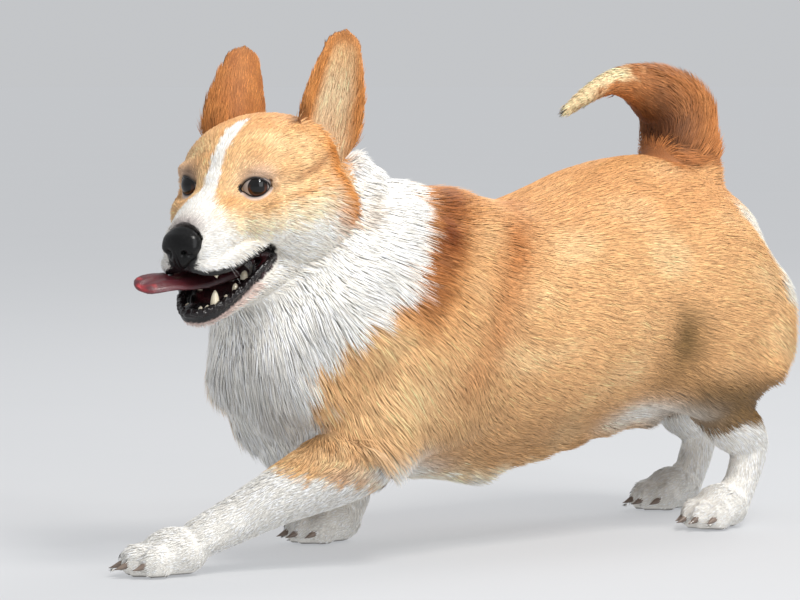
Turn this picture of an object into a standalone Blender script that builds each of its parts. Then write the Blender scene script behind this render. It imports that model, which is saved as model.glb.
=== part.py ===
"""A Pembroke Welsh Corgi at a run, life size, as a still museum model.

The dog faces +X, its left side is +Y, and its paws stand on z = 0. The body is modelled whole from
lofted tubes and ellipsoids, melted into one skin, and parted with thin cuts into named sub-parts.
Sizes are written in centimetres and turned into metres by CM.
"""
import math
import random

import bmesh
import bpy
import numpy as np
from mathutils import Matrix, Vector
from mathutils.bvhtree import BVHTree

CM = 0.01
GAP = 0.0003  # metres, the gap that touching pieces keep

# Body sizes, in centimetres
WITHERS_TOP = 29.0
RUMP_TOP = 31.4
CHEST_LOW = 4.6
CHEST_HALF = 10.3
RUMP_HALF = 9.4
CHEST_FRONT = 26.6
REAR_END = -28.6
HIP_X = -16.5
THIGH_SIDE = 6.9

# Head sizes, in centimetres. The head has its own axes: f forward, l to the left and t up,
# from the middle between the eyes.
EYE_MIDDLE = (30.3, 1.3, 29.4)
HEAD_YAW = 20.0
HEAD_PITCH = 8.0
EYE_SIDE = 3.15
EYE_RADIUS = 1.1
SKULL_HALF = 5.9
CHEEK_HALF = 6.6
NOSE_FRONT = 6.5
EYE_OUTWARD = 24.0
EYE_OPEN = (1.8, 1.35)
LID_THICK = 0.2
TONGUE_ROLL = 24.0

# Where the ruff is parted from the torso, and the way that cut faces
RUFF_CUT = (15.5, 0, 22.0)
RUFF_WAY = (0.66, 0, 0.75)
RUFF_DROP = 1.5

# The long coat, in centimetres. Its core lies inside the tips by these depths.
RUFF_DEPTH = 1.3
BREECH_DEPTH = 0.9
FRINGE_DEPTH = 0.9
FRINGE_SHARE = 0.8
TAIL_CORE = 0.62
LOCK_SINK = 1.1
LOCK_FLAT = 0.42
LOCK_SWING = 0.16
LOCK_SCATTER = (-5, 5)
LOCK_CLEAR = 0.0004  # metres
LOCK_TRIES = (1, 0.85, 0.7, 0.55)
LOCK_DRAPE = 0.8
LOCK_SEED = 11
LOCK_STATIONS = ((0, 0.8), (0.36, 1.0), (0.7, 0.74))

# Fineness of the melted skins, in metres, and their triangles
BODY_VOXEL = 0.005
LEG_VOXEL = 0.0028
HEAD_VOXEL = 0.0021
BODY_TRIANGLES = 2200
LEG_TRIANGLES = 480
TAIL_TRIANGLES = 300
HEAD_TRIANGLES = 1350
JAW_TRIANGLES = 420

# Colour and roughness of each sub-part
TAN = ((0.62, 0.33, 0.13), 0.8)
RED = ((0.45, 0.19, 0.06), 0.8)
WHITE = ((0.86, 0.84, 0.80), 0.8)
FINISHES = {"torso": TAN, "neck": WHITE, "head": TAN, "jaw": WHITE, "tail": RED, "ear_left": RED,
            "ear_right": RED, "leg_fore_left": WHITE, "leg_fore_right": WHITE, "leg_hind_left": WHITE,
            "leg_hind_right": WHITE, "nose": ((0.02, 0.018, 0.018), 0.35),
            "eye_left": ((0.03, 0.014, 0.008), 0.08), "eye_right": ((0.03, 0.014, 0.008), 0.08),
            "tongue": ((0.42, 0.09, 0.09), 0.4)}


def head_axes():
    yaw = math.radians(HEAD_YAW)
    pitch = math.radians(HEAD_PITCH)
    level = Vector((math.cos(yaw), math.sin(yaw), 0))
    forward = level * math.cos(pitch) - Vector((0, 0, math.sin(pitch)))
    left = Vector((-math.sin(yaw), math.cos(yaw), 0))
    return forward, left, forward.cross(left)


def head_point(f, l, t):
    """A place given along the head's own axes, in the dog's centimetres."""
    forward, left, up = head_axes()
    return Vector(EYE_MIDDLE) + forward * f + left * l + up * t


def head_matrix():
    forward, left, up = head_axes()
    return Matrix((forward, left, up)).transposed()


def clear_scene():
    for thing in list(bpy.data.objects):
        bpy.data.objects.remove(thing, do_unlink=True)


def new_collection(name):
    group = bpy.data.collections.new(name)
    bpy.context.scene.collection.children.link(group)
    return group


def finish(name, colour, roughness=0.8):
    material = bpy.data.materials.new(name)
    material.use_nodes = True
    shader = material.node_tree.nodes["Principled BSDF"]
    shader.inputs["Base Color"].default_value = (*colour, 1)
    shader.inputs["Roughness"].default_value = roughness
    shader.inputs["Metallic"].default_value = 0.0
    return material


def add_object(name, mesh, group):
    thing = bpy.data.objects.new(name, mesh)
    group.objects.link(thing)
    return thing


def mesh_from(name, bm):
    mesh = bpy.data.meshes.new(name)
    bm.to_mesh(mesh)
    bm.free()
    return mesh


def spline(rows, steps):
    """Catmull-Rom rows between the given rows, ends kept."""
    rows = np.asarray(rows, float)
    padded = np.vstack([2 * rows[0] - rows[1], rows, 2 * rows[-1] - rows[-2]])
    out = []
    for i in range(1, len(padded) - 2):
        a, b, c, d = padded[i - 1:i + 3]
        for k in range(steps):
            s = k / steps
            out.append(0.5 * (2 * b + (c - a) * s + (2 * a - 5 * b + 4 * c - d) * s * s
                              + (3 * b - a - 3 * c + d) * s ** 3))
    out.append(rows[-1])
    return np.array(out)


def tube(rows, group, side=(0, 1, 0), around=20, steps=3, name="tube"):
    """A closed loft along rows of (x, y, z, half across, half tall), in centimetres."""
    rows = spline(rows, steps)
    bm = bmesh.new()
    rings = []
    for i, row in enumerate(rows):
        ahead = rows[min(i + 1, len(rows) - 1)][:3] - rows[max(i - 1, 0)][:3]
        along = Vector(ahead).normalized()
        across = Vector(side)
        across = (across - along * across.dot(along)).normalized()
        tall = along.cross(across)
        ring = []
        for k in range(around):
            angle = 2 * math.pi * k / around
            place = Vector(row[:3]) + across * math.cos(angle) * row[3] + tall * math.sin(angle) * row[4]
            ring.append(bm.verts.new(place * CM))
        rings.append(ring)
    for lower, upper in zip(rings, rings[1:]):
        for k in range(around):
            bm.faces.new((lower[k], lower[(k + 1) % around], upper[(k + 1) % around], upper[k]))
    bm.faces.new(list(reversed(rings[0])))
    bm.faces.new(rings[-1])
    bmesh.ops.recalc_face_normals(bm, faces=bm.faces)
    return add_object(name, mesh_from(name, bm), group)


def ball(centre, radii, group, turn=None, name="ball", segments=24, rings=16):
    """An ellipsoid at a place in centimetres, its radii along its own turned axes."""
    bm = bmesh.new()
    bmesh.ops.create_uvsphere(bm, u_segments=segments, v_segments=rings, radius=1)
    axes = turn.to_4x4() if turn is not None else Matrix.Identity(4)
    place = Matrix.Translation(Vector(centre) * CM) @ axes @ Matrix.Diagonal((*[r * CM for r in radii], 1))
    bmesh.ops.transform(bm, matrix=place, verts=bm.verts)
    return add_object(name, mesh_from(name, bm), group)


def applied(thing):
    """Puts an object's modifiers into its mesh."""
    evaluated = thing.evaluated_get(bpy.context.evaluated_depsgraph_get())
    mesh = bpy.data.meshes.new_from_object(evaluated)
    thing.modifiers.clear()
    thing.data = mesh
    return thing


def joined(things, name, group):
    bm = bmesh.new()
    for thing in things:
        bm.from_mesh(thing.data)
        bpy.data.objects.remove(thing, do_unlink=True)
    return add_object(name, mesh_from(name, bm), group)


def melted(things, name, group, voxel, relax, triangles):
    """Melts closed solids into one smooth skin of about so many triangles."""
    skin = joined(things, name, group)
    remesh = skin.modifiers.new("melt", "REMESH")
    remesh.mode = "VOXEL"
    remesh.voxel_size = voxel
    smooth = skin.modifiers.new("relax", "SMOOTH")
    smooth.factor = 0.5
    smooth.iterations = relax
    applied(skin)
    thin = skin.modifiers.new("thin", "DECIMATE")
    thin.ratio = triangles / (2 * len(skin.data.polygons))
    thin.use_collapse_triangulate = True
    applied(skin)
    return skin


def boolean(thing, other, operation, solver="EXACT"):
    change = thing.modifiers.new(operation.lower(), "BOOLEAN")
    change.operation = operation
    change.solver = solver
    change.object = other
    applied(thing)
    return thing


def swollen(thing, gap, group):
    """A copy of a solid that stands out by the gap all over, to cut its neighbour clear."""
    copy = add_object(thing.name + "_clear", thing.data.copy(), group)
    swell = copy.modifiers.new("swell", "DISPLACE")
    swell.strength = gap
    swell.mid_level = 0
    return applied(copy)


def cut_clear(thing, neighbour, group, gap=GAP):
    cutter = swollen(neighbour, gap, group)
    boolean(thing, cutter, "DIFFERENCE")
    bpy.data.objects.remove(cutter, do_unlink=True)
    return keep_largest(thing)


def loose_parts(thing):
    """Lists of face indices, one for each closed surface of a mesh, largest first."""
    bm = bmesh.new()
    bm.from_mesh(thing.data)
    bm.faces.ensure_lookup_table()
    seen = set()
    parts = []
    for start in bm.faces:
        if start.index in seen:
            continue
        stack = [start]
        seen.add(start.index)
        part = []
        while stack:
            face = stack.pop()
            part.append(face.index)
            for edge in face.edges:
                for other in edge.link_faces:
                    if other.index not in seen:
                        seen.add(other.index)
                        stack.append(other)
        parts.append(part)
    bm.free()
    return sorted(parts, key=len, reverse=True)


def only_faces(thing, keep):
    bm = bmesh.new()
    bm.from_mesh(thing.data)
    keep = set(keep)
    bmesh.ops.delete(bm, geom=[f for f in bm.faces if f.index not in keep], context="FACES")
    bm.to_mesh(thing.data)
    bm.free()


def keep_largest(thing):
    parts = loose_parts(thing)
    if len(parts) > 1:
        only_faces(thing, parts[0])
    return thing


def unite(thing, others):
    """Fuses closed solids onto a node in one union."""
    group = bpy.data.collections.new("to_fuse")
    for other in others:
        group.objects.link(other)
    change = thing.modifiers.new("fuse", "BOOLEAN")
    change.operation = "UNION"
    change.solver = "MANIFOLD"
    change.operand_type = "COLLECTION"
    change.collection = group
    applied(thing)
    for other in others:
        bpy.data.objects.remove(other, do_unlink=True)
    bpy.data.collections.remove(group)
    return thing


def carve(thing, cutters):
    for cutter in cutters:
        boolean(thing, cutter, "DIFFERENCE")
        bpy.data.objects.remove(cutter, do_unlink=True)
    return thing


def turned_out(thing):
    """Points a closed mesh's faces outwards."""
    bm = bmesh.new()
    bm.from_mesh(thing.data)
    bmesh.ops.recalc_face_normals(bm, faces=bm.faces)
    bm.to_mesh(thing.data)
    bm.free()
    return thing


def settle(group):
    """Brings the middle of the footprint over the origin and gives the sub-parts their finishes."""
    low = [min(v.co[i] for thing in group.objects for v in thing.data.vertices) for i in range(3)]
    high = [max(v.co[i] for thing in group.objects for v in thing.data.vertices) for i in range(3)]
    move = Vector((-(low[0] + high[0]) / 2, -(low[1] + high[1]) / 2, -low[2]))
    for thing in group.objects:
        thing.data.transform(Matrix.Translation(move))
        thing.data.materials.clear()
        thing.data.materials.append(finish(thing.name, *FINISHES[thing.name]))
    return move


def disc(centre, along, radius, group):
    """A thin round saw cut across a limb, in centimetres."""
    bm = bmesh.new()
    bmesh.ops.create_cone(bm, cap_ends=True, segments=40, radius1=radius * CM, radius2=radius * CM,
                          depth=GAP)
    turn = Vector(along).to_track_quat("Z", "Y").to_matrix().to_4x4()
    bmesh.ops.transform(bm, matrix=Matrix.Translation(Vector(centre) * CM) @ turn, verts=bm.verts)
    return add_object("saw", mesh_from("saw", bm), group)


def surface(thing):
    """A search tree over a node's skin, in centimetres."""
    mesh = thing.data
    return BVHTree.FromPolygons([v.co / CM for v in mesh.vertices], [p.vertices for p in mesh.polygons])


class Coat:
    """Grows flat, tapered locks on one node, draped over a skin and clear of the nodes beside it."""

    def __init__(self, node, skin, neighbours, work, chance):
        self.node = node
        self.tree = skin
        self.work = work
        self.chance = chance
        self.locks = []
        self.others = []
        for neighbour in neighbours:
            copy = swollen(neighbour, LOCK_CLEAR, work)
            self.others.append(surface(copy))
            bpy.data.objects.remove(copy, do_unlink=True)

    def path(self, root, lie, length, lift):
        """Places and outward ways along a lock that is draped over the skin and stands off it at its tip."""
        swing = lie.cross(self.tree.find_nearest(root)[1]) * self.chance.uniform(-LOCK_SWING, LOCK_SWING)
        path = []
        for s in [share for share, _ in LOCK_STATIONS] + [1]:
            free = root + (lie + swing * s) * length * s
            skin, out = self.tree.find_nearest(free)[:2]
            rise = (LOCK_SINK + lift) * math.sin(math.pi / 2 * s) - LOCK_SINK
            path.append((free.lerp(skin, LOCK_DRAPE) + out * rise, out))
        return path

    def lock(self, path, width):
        """Three-sided rings from the sunk root to a point."""
        bm = bmesh.new()
        rings = []
        for i, (_, share) in enumerate(LOCK_STATIONS):
            centre, out = path[i]
            along = (path[i + 1][0] - path[max(i - 1, 0)][0]).normalized()
            across = along.cross(out).normalized() * width * share / 2
            ridge = across.cross(along) * LOCK_FLAT
            rings.append([bm.verts.new((centre + offset) * CM) for offset in (across, ridge, -across)])
        tip = bm.verts.new(path[-1][0] * CM)
        for lower, upper in zip(rings, rings[1:]):
            for k in range(3):
                bm.faces.new((lower[k], lower[(k + 1) % 3], upper[(k + 1) % 3], upper[k]))
        for k in range(3):
            bm.faces.new((rings[-1][k], rings[-1][(k + 1) % 3], tip))
        bm.faces.new(list(reversed(rings[0])))
        bmesh.ops.triangulate(bm, faces=bm.faces)
        bmesh.ops.recalc_face_normals(bm, faces=bm.faces)
        return add_object("lock", mesh_from("lock", bm), self.work)

    def grow(self, root, lie, length, width, lift):
        """Adds a lock, made shorter where it would touch a neighbour and left out where that isn't enough."""
        length = length * self.chance.uniform(0.88, 1.12)
        for shorter in LOCK_TRIES:
            piece = self.lock(self.path(root, Vector(lie).normalized(), length * shorter, lift), width)
            tree = surface(piece)
            if not any(tree.overlap(other) for other in self.others):
                self.locks.append(piece)
                return
            bpy.data.objects.remove(piece, do_unlink=True)

    def fuse(self):
        return keep_largest(unite(self.node, self.locks))


def fan(tree, centre, zero, quarter, angles):
    """Places where rays from a centre meet the skin, at angles in degrees from one way towards another."""
    places = []
    for angle in angles:
        a = math.radians(angle)
        way = Vector(zero) * math.cos(a) + Vector(quarter) * math.sin(a)
        place = tree.ray_cast(Vector(centre), way)[0]
        if place is not None:
            places.append(place)
    return places


# Rows of the ruff: distance in front of the saw, number of locks, length, width and lift
RUFF_ROWS = ((8.6, 10, 6.8, 5.0, 0.7), (5.4, 11, 6.8, 5.2, 1.0), (2.4, 11, 6.0, 5.2, 0.8))


def grow_ruff(coat):
    """Rings of locks that flow from the head down and back over the neck and chest."""
    ahead = Vector(RUFF_WAY).normalized()
    down = Vector((ahead.z, 0, -ahead.x))
    for row, (distance, count, length, width, lift) in enumerate(RUFF_ROWS):
        centre = Vector(RUFF_CUT) + ahead * distance + down * RUFF_DROP
        angles = [360 * (k + row / 2) / count + coat.chance.uniform(*LOCK_SCATTER) for k in range(count)]
        for place in fan(coat.tree, centre, down, (0, 1, 0), angles):
            coat.grow(place, -ahead + Vector((0, 0, -0.35)), length, width, lift)


# Rows of the breeches: height, angles from straight back out to the side, length and width
BREECH_ROWS = ((24.2, (10, 52), 7.6, 5.0), (20.4, (-8, 30, 72), 7.4, 4.8), (16.4, (8, 48, 86), 6.0, 4.4))
BREECH_CORE = (-20.6, 4.2)

# Places along the belly and how far each side they lie, with the fringe's length and width
FRINGE_X = (12.4, 7.6, 2.8, -2.0, -6.8)
FRINGE_SIDES = (-2.6, 2.6)
FRINGE_STEP = 2.4
FRINGE_SIZE = (7.6, 4.8)

# Places on the front of the chest below the ruff: height, and angles from straight ahead
CHEST_ROWS = ((12.6, (-40, -8, 24)), (9.6, (-56, -24, 8)))
CHEST_LOCK = (5.4, 4.8)


def grow_body(coat):
    """The breeches behind the thighs, the fringe under the belly and the front of the chest."""
    for height, angles, length, width in BREECH_ROWS:
        for side in (1, -1):
            centre = (BREECH_CORE[0], side * BREECH_CORE[1], height)
            for place in fan(coat.tree, centre, (-1, 0, 0), (0, side, 0), angles):
                coat.grow(place, (-0.3, 0, -1), length, width, BREECH_DEPTH)
    for x in FRINGE_X:
        for y in FRINGE_SIDES:
            start = Vector((x - FRINGE_STEP * (y > 0), y * 0.3, 14))
            place = coat.tree.ray_cast(start, Vector((0, y, -9)).normalized())[0]
            coat.grow(place, (-1, 0, -0.2), *FRINGE_SIZE, FRINGE_DEPTH * FRINGE_SHARE)
    for height, angles in CHEST_ROWS:
        for place in fan(coat.tree, (18.0, -0.6, height), (1, 0, 0), (0, 1, 0), angles):
            coat.grow(place, (-0.35, 0, -1), *CHEST_LOCK, BREECH_DEPTH)


# Rows of the tail's plume: share along the tail, number of locks, length, width and lift
PLUME_ROWS = ((0.13, 4, 7.0, 4.6, 0.9), (0.36, 4, 7.0, 4.2, 0.8), (0.57, 3, 6.6, 3.4, 0.8),
              (0.77, 3, 5.0, 2.2, 0.4))


def grow_plume(coat):
    """Whorls of locks that flow along the tail to its tip."""
    line = spline(TAIL, 8)
    across = Vector((0, 1, 0))
    for row, (share, count, length, width, lift) in enumerate(PLUME_ROWS):
        i = round(share * (len(line) - 1))
        centre = Vector(line[i][:3])
        along = (Vector(line[i + 1][:3]) - Vector(line[i - 1][:3])).normalized()
        angles = [360 * (k + row / 2) / count + coat.chance.uniform(*LOCK_SCATTER) for k in range(count)]
        for place in fan(coat.tree, centre, across.cross(along), across, angles):
            coat.grow(place, along, length, width, lift)


def trunk_shapes(group):
    """Chest, back and belly as one loft along the spine, with shoulders, thighs and buttocks."""
    rows = []
    for x, top, low, half in (
            (CHEST_FRONT - 0.5, 18.0, 8.4, 5.4), (23.4, 22.5, 6.0, 8.2), (20.0, 25.4, 5.0, 9.4),
            (14.0, 28.0, CHEST_LOW, CHEST_HALF), (8.0, WITHERS_TOP, CHEST_LOW - 0.3, CHEST_HALF),
            (1.0, WITHERS_TOP - 1.2, CHEST_LOW + 0.3, CHEST_HALF - 0.2),
            (-5.0, WITHERS_TOP + 0.3, 6.2, CHEST_HALF - 0.2),
            (-11.0, RUMP_TOP - 0.6, 7.4, CHEST_HALF - 0.4), (HIP_X, RUMP_TOP, 8.8, RUMP_HALF),
            (-21.0, RUMP_TOP - 2.1, 10.4, RUMP_HALF - 1.6), (-24.4 + BREECH_DEPTH, 25.2, 11.6, 6.2),
            (REAR_END + 0.9 + BREECH_DEPTH, 20.5, 13.0, 3.6), (REAR_END + BREECH_DEPTH, 17.6, 14.8, 1.2)):
        low = low + FRINGE_DEPTH * FRINGE_SHARE
        rows.append((x, 0, (top + low) / 2, half, (top - low) / 2))
    shapes = [tube(rows, group, around=28)]
    for side in (1, -1):
        shapes.append(ball((HIP_X - 0.5, side * THIGH_SIDE, 17.5), (8.2, 3.9, 9.4), group))
        shapes.append(ball((-21.6 + BREECH_DEPTH, side * 5.0, 16.4), (6.0, 4.2, 5.8), group))
        shapes.append(ball((13.0, side * 6.8, 16.5), (6.6, 4.2, 8.6), group))
    shapes.append(ball((18.5, 6.6, 11.0), (5.4, 3.4, 4.6), group))
    return shapes


def neck_shapes(group):
    """The nape, the throat and the full ruff round them."""
    nape = head_point(-6.5, 0, -1.4)
    throat = head_point(-4.5, 0, -7.5)
    slim = RUFF_DEPTH
    return [tube([(*nape, 5.4, 4.6), (21.0, -1.4, 26.3, 7.3 - slim, 6.0 - slim / 2),
                  (18.0, -0.8, 24.5, 8.5 - slim, 7.2 - slim / 2),
                  (14.0, -0.3, 21.3, 9.8 - slim, 9.0 - slim / 2), (9.0, 0, 18.5, 9.4, 9.6)], group, around=24),
            tube([(*throat, 4.0, 4.0), (22.5, -0.6, 18.0, 8.6 - slim, 6.6 - slim),
                  (17.0, 0, 15.0, 9.2, 8.2)], group),
            ball((19.5, -0.6, 17.0), (8.4 - slim, 10.2 - slim, 8.6 - slim), group)]


# Stations down each leg: x, y, z, half width and half depth
LEG_FORE_LEFT = ((13.5, 4.6, 13.0, 3.0, 4.0), (18.5, 5.8, 10.2, 3.4, 4.0), (22.3, 6.0, 7.9, 2.9, 3.2),
                 (26.6, 4.6, 5.9, 2.2, 2.4), (30.4, 3.1, 3.9, 1.8, 1.9), (33.4, 2.3, 2.6, 1.9, 1.6))
LEG_FORE_RIGHT = ((13.0, -5.4, 14.0, 3.0, 4.2), (11.5, -7.2, 9.8, 3.1, 3.9), (11.0, -7.0, 6.4, 2.1, 2.4),
                  (10.9, -6.8, 3.8, 1.7, 1.8), (11.6, -6.8, 2.5, 1.8, 1.7))
LEG_HIND = ((-0.5, -2.8, 14.5, 2.2, 3.0), (-2.2, -1.2, 10.9, 2.4, 3.0), (-4.4, -0.6, 8.4, 2.0, 2.5),
            (-6.0, -0.6, 6.7, 1.6, 1.8), (-5.4, -0.6, 4.2, 1.5, 1.5), (-4.4, -0.6, 2.5, 1.6, 1.6))
HIND_LEFT_X = -15.6
HIND_RIGHT_X = -22.2

# Each paw: where the middle of the foot stands, and which way the toes point, in degrees from +X
PAWS = {
    "leg_fore_left": ((35.9, 1.6), -18),
    "leg_fore_right": ((13.6, -6.9), -3),
    "leg_hind_left": ((HIND_LEFT_X - 2.0, THIGH_SIDE - 0.5), 6),
    "leg_hind_right": ((HIND_RIGHT_X - 2.0, -THIGH_SIDE + 0.5), -6),
}
TOES = ((1.05, -1.62, 0.80), (1.95, -0.60, 0.90), (1.95, 0.60, 0.90), (1.05, 1.62, 0.80))


def hind_rows(x, side):
    return [(x + row[0], side * (THIGH_SIDE + row[1]), *row[2:]) for row in LEG_HIND]


def paw_point(name, ahead, aside, height):
    (x, y), turn = PAWS[name]
    c, s = math.cos(math.radians(turn)), math.sin(math.radians(turn))
    return Vector((x + ahead * c - aside * s, y + ahead * s + aside * c, height))


def paw_shapes(name, group):
    """The ball of the foot with its four toes, a little below the floor so that it stands on flats."""
    turn = Matrix.Rotation(math.radians(PAWS[name][1]), 3, "Z")
    shapes = [ball(paw_point(name, -0.9, 0, 1.75), (2.7, 2.15, 2.05), group, turn)]
    for ahead, aside, size in TOES:
        shapes.append(ball(paw_point(name, ahead, aside, 1.18), (1.75 * size, 0.92 * size, 1.5), group, turn))
    return shapes


def claw_cone(root, tip, radius, group, name="claw"):
    """A small round horn from root to tip, in centimetres."""
    bm = bmesh.new()
    length = (tip - root).length
    bmesh.ops.create_cone(bm, cap_ends=True, segments=5, radius1=radius * CM, radius2=radius * 0.16 * CM,
                          depth=length * CM)
    turn = (tip - root).to_track_quat("Z", "Y").to_matrix().to_4x4()
    bmesh.ops.transform(bm, matrix=Matrix.Translation((root + tip) / 2 * CM) @ turn, verts=bm.verts)
    return add_object(name, mesh_from(name, bm), group)


def claws(name, group):
    out = []
    for ahead, aside, size in TOES:
        root = paw_point(name, ahead + 0.9 * size, aside, 1.25)
        tip = paw_point(name, ahead + 2.3 * size, aside * 1.04, 0.45)
        out.append(claw_cone(root, tip, 0.26, group))
    return out


def leg(name, rows, group, work):
    limb = melted([tube(rows, work, around=18)] + paw_shapes(name, work), name, group,
                  LEG_VOXEL, 4, LEG_TRIANGLES)
    unite(limb, claws(name, work))
    floor = bmesh.new()
    bmesh.ops.create_cube(floor, size=2.0)
    bmesh.ops.translate(floor, verts=floor.verts, vec=(0, 0, -1.0))
    ground = add_object("ground", mesh_from("ground", floor), work)
    boolean(limb, ground, "DIFFERENCE")
    bpy.data.objects.remove(ground, do_unlink=True)
    return keep_largest(limb)


# The tail rises from the rump and curls forward: x, y, z, half width, half height
TAIL = ((-18.8, 0, 27.5, 3.2, 3.4), (-19.4, 0, 31.2, 3.3, 3.5), (-19.4, 0, 33.8, 3.3, 3.5),
        (-17.8, 0, 35.6, 2.9, 2.9), (-15.0, 0, 36.8, 2.1, 2.0), (-12.0, 0, 37.1, 1.3, 1.1),
        (-9.4, 0, 36.3, 0.9, 0.8), (-7.0, 0, 35.0, 0.4, 0.4))


def head_ball(f, l, t, radii, group, segments=24, rings=16):
    return ball(head_point(f, l, t), radii, group, head_matrix(), "ball", segments, rings)


def head_tube(stations, group, around=24, name="tube"):
    """A loft along the head from stations of (f, top, low, half width)."""
    rows = []
    for f, top, low, half in stations:
        rows.append((*head_point(f, 0, (top + low) / 2), half, (top - low) / 2))
    return tube(rows, group, side=tuple(head_axes()[1]), around=around, name=name)


def head_shapes(group):
    shapes = [head_ball(-6.0, 0, 0.2, (6.6, SKULL_HALF, 4.3), group),
              head_ball(-9.0, 0, -2.6, (4.6, 5.8, 4.8), group),
              head_ball(-1.8, 0, -0.7, (3.4, 3.4, 2.5), group)]
    for side in (1, -1):
        shapes.append(head_ball(-6.2, side * (CHEEK_HALF - 3.4), -2.6, (5.6, 3.4, 4.4), group))
        shapes.append(head_ball(-1.6, side * 2.9, -2.4, (3.4, 1.9, 2.5), group))
        shapes.append(head_ball(-1.7, side * 2.9, 0.95, (1.7, 1.7, 0.8), group))
        shapes.append(head_ball(4.0, side * 1.1, -4.0, (2.0, 1.5, 1.9), group))
    shapes.append(head_tube(((-4.0, 0.2, -6.2, 4.3), (-1.0, 0.3, -5.9, 3.8), (1.2, 0.0, -5.7, 3.2),
                             (3.4, -1.0, -5.9, 2.6), (5.0, -1.8, -5.9, 2.1), (5.8, -2.4, -5.5, 1.5)), group))
    return shapes


def eye_centre(side):
    return head_point(-0.95, side * EYE_SIDE, -0.1)


def gaze(side):
    """The way an eye looks out: forward and outward."""
    turn = math.radians(EYE_OUTWARD) * side
    return head_matrix() @ Matrix.Rotation(turn, 3, "Z")


# The edges of the lips on the left side, from the middle of the front to the corner of the mouth
UPPER_LIP = ((5.75, 0, -5.35), (5.35, 1.75, -5.75), (4.3, 2.5, -5.75), (2.9, 2.8, -5.6), (1.6, 3.1, -5.25),
             (0.5, 3.6, -4.75), (-0.6, 3.5, -4.6))
LOWER_LIP = ((5.25, 0, -8.95), (4.7, 1.25, -8.75), (3.4, 2.1, -8.2), (1.5, 2.85, -7.2), (0, 3.5, -6.0))
LIP_HALF = (0.3, 0.26)


def lip(points, group):
    """A soft rim that follows a lip from corner to corner."""
    mirrored = [(f, -l, t) for f, l, t in reversed(points[1:])]
    rows = [(*head_point(*p), *LIP_HALF) for p in mirrored + list(points)]
    return tube(rows, group, side=tuple(head_axes()[2]), around=6, steps=2, name="lip")


def build_head(group, work):
    head = melted(head_shapes(work), "head", group, HEAD_VOXEL, 4, HEAD_TRIANGLES)
    mouth = head_tube(((-1.2, -4.9, -7.0, 2.4), (1.5, -4.7, -7.4, 2.35), (3.8, -4.9, -7.4, 1.9),
                       (5.1, -5.1, -7.2, 1.2)), work, 12, "mouth")
    carve(head, [mouth])
    unite(head, [lip(UPPER_LIP, work)])
    for side in (1, -1):
        centre = eye_centre(side)
        unite(head, [ball(centre, (EYE_RADIUS + LID_THICK,) * 3, work, gaze(side), "lid", 12, 7)])
        opening = centre + gaze(side) @ Vector((1.3, 0, 0))
        carve(head, [ball(centre, (EYE_RADIUS + GAP / CM,) * 3, work, gaze(side), "socket", 12, 8),
                     ball(opening, (1.0, EYE_OPEN[0] / 2, EYE_OPEN[1] / 2), work, gaze(side), "slit", 10, 6)])
    unite(head, teeth(UPPER_TEETH, -1, work))
    return keep_largest(head)


def build_jaw(group, work):
    jaw = melted([head_tube(((5.1, -8.7, -9.8, 1.0), (4.5, -8.3, -10.1, 1.6), (2.6, -7.5, -9.9, 2.3),
                             (0.4, -6.3, -9.5, 3.0), (-2.5, -4.7, -9.3, 3.8), (-6.0, -3.0, -9.3, 4.4)), work)],
                 "jaw", group, HEAD_VOXEL, 3, JAW_TRIANGLES)
    trough = head_tube(((4.2, -7.6, -8.9, 0.9), (3.0, -6.8, -8.7, 1.5), (1.0, -5.6, -8.0, 2.1),
                        (-1.5, -4.2, -6.9, 2.6)), work, 12, "trough")
    carve(jaw, [trough])
    unite(jaw, [lip(LOWER_LIP, work)])
    unite(jaw, teeth(LOWER_TEETH, 1, work))
    return keep_largest(jaw)


# Teeth on one side of each jaw: f, l, t of the root, length and root radius; the other side mirrors them
UPPER_TEETH = ((4.9, 0.35, -4.9, 0.65, 0.2), (4.75, 1.0, -4.9, 0.7, 0.22), (4.1, 1.65, -4.9, 1.5, 0.32),
               (2.6, 2.15, -4.8, 0.6, 0.3), (1.5, 2.4, -4.8, 0.8, 0.38), (0.2, 2.6, -4.7, 1.1, 0.55))
LOWER_TEETH = ((4.55, 0.3, -8.9, 0.75, 0.17), (4.4, 0.8, -8.85, 0.8, 0.18), (3.95, 1.3, -8.85, 1.5, 0.3),
               (2.6, 1.75, -8.2, 0.7, 0.3), (1.5, 2.1, -7.6, 0.85, 0.36), (0.3, 2.45, -6.9, 1.0, 0.5))


def teeth(rows, way, group):
    out = []
    up = head_axes()[2]
    for f, l, t, length, radius in rows:
        for side in (1, -1):
            root = head_point(f, side * l, t) - up * way * 0.3
            tip = head_point(f - 0.1, side * l * 1.02, t) + up * way * length
            out.append(claw_cone(root, tip, radius, group, "tooth"))
    return out


def build_nose(group, work):
    nose = head_ball(NOSE_FRONT - 0.95, 0, -3.25, (0.95, 1.5, 1.25), group, 12, 8)
    nose.name = "nose"
    unite(nose, [head_ball(NOSE_FRONT - 1.0, side * 0.62, -3.35, (1.0, 0.95, 0.85), work, 10, 6)
                 for side in (1, -1)])
    holes = []
    for side in (1, -1):
        holes.append(head_ball(NOSE_FRONT - 0.02, side * 0.72, -3.45, (0.5, 0.3, 0.26), work, 8, 5))
        holes.append(head_ball(NOSE_FRONT - 0.35, side * 1.35, -3.62, (0.5, 0.35, 0.12), work, 8, 5))
    carve(nose, holes)
    return keep_largest(nose)


# Each ear in the head's axes: foot at the front, foot at the back, tip, and which way the cup opens
EAR_LEFT = ((-7.3, 2.7, 3.4), (-10.6, 5.8, 1.8), (-9.9, 6.2, 10.9), 1)
EAR_RIGHT = ((-7.4, -5.9, 2.0), (-11.7, -2.9, 2.6), (-12.0, -3.9, 9.3), -1)
EAR_CUP = 1.5
EAR_ROOT = -0.3
EAR_FOOT_TAPER = 1.5
EAR_THICK = 0.42
EAR_COLUMNS = 8
EAR_ROWS = 10


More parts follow.
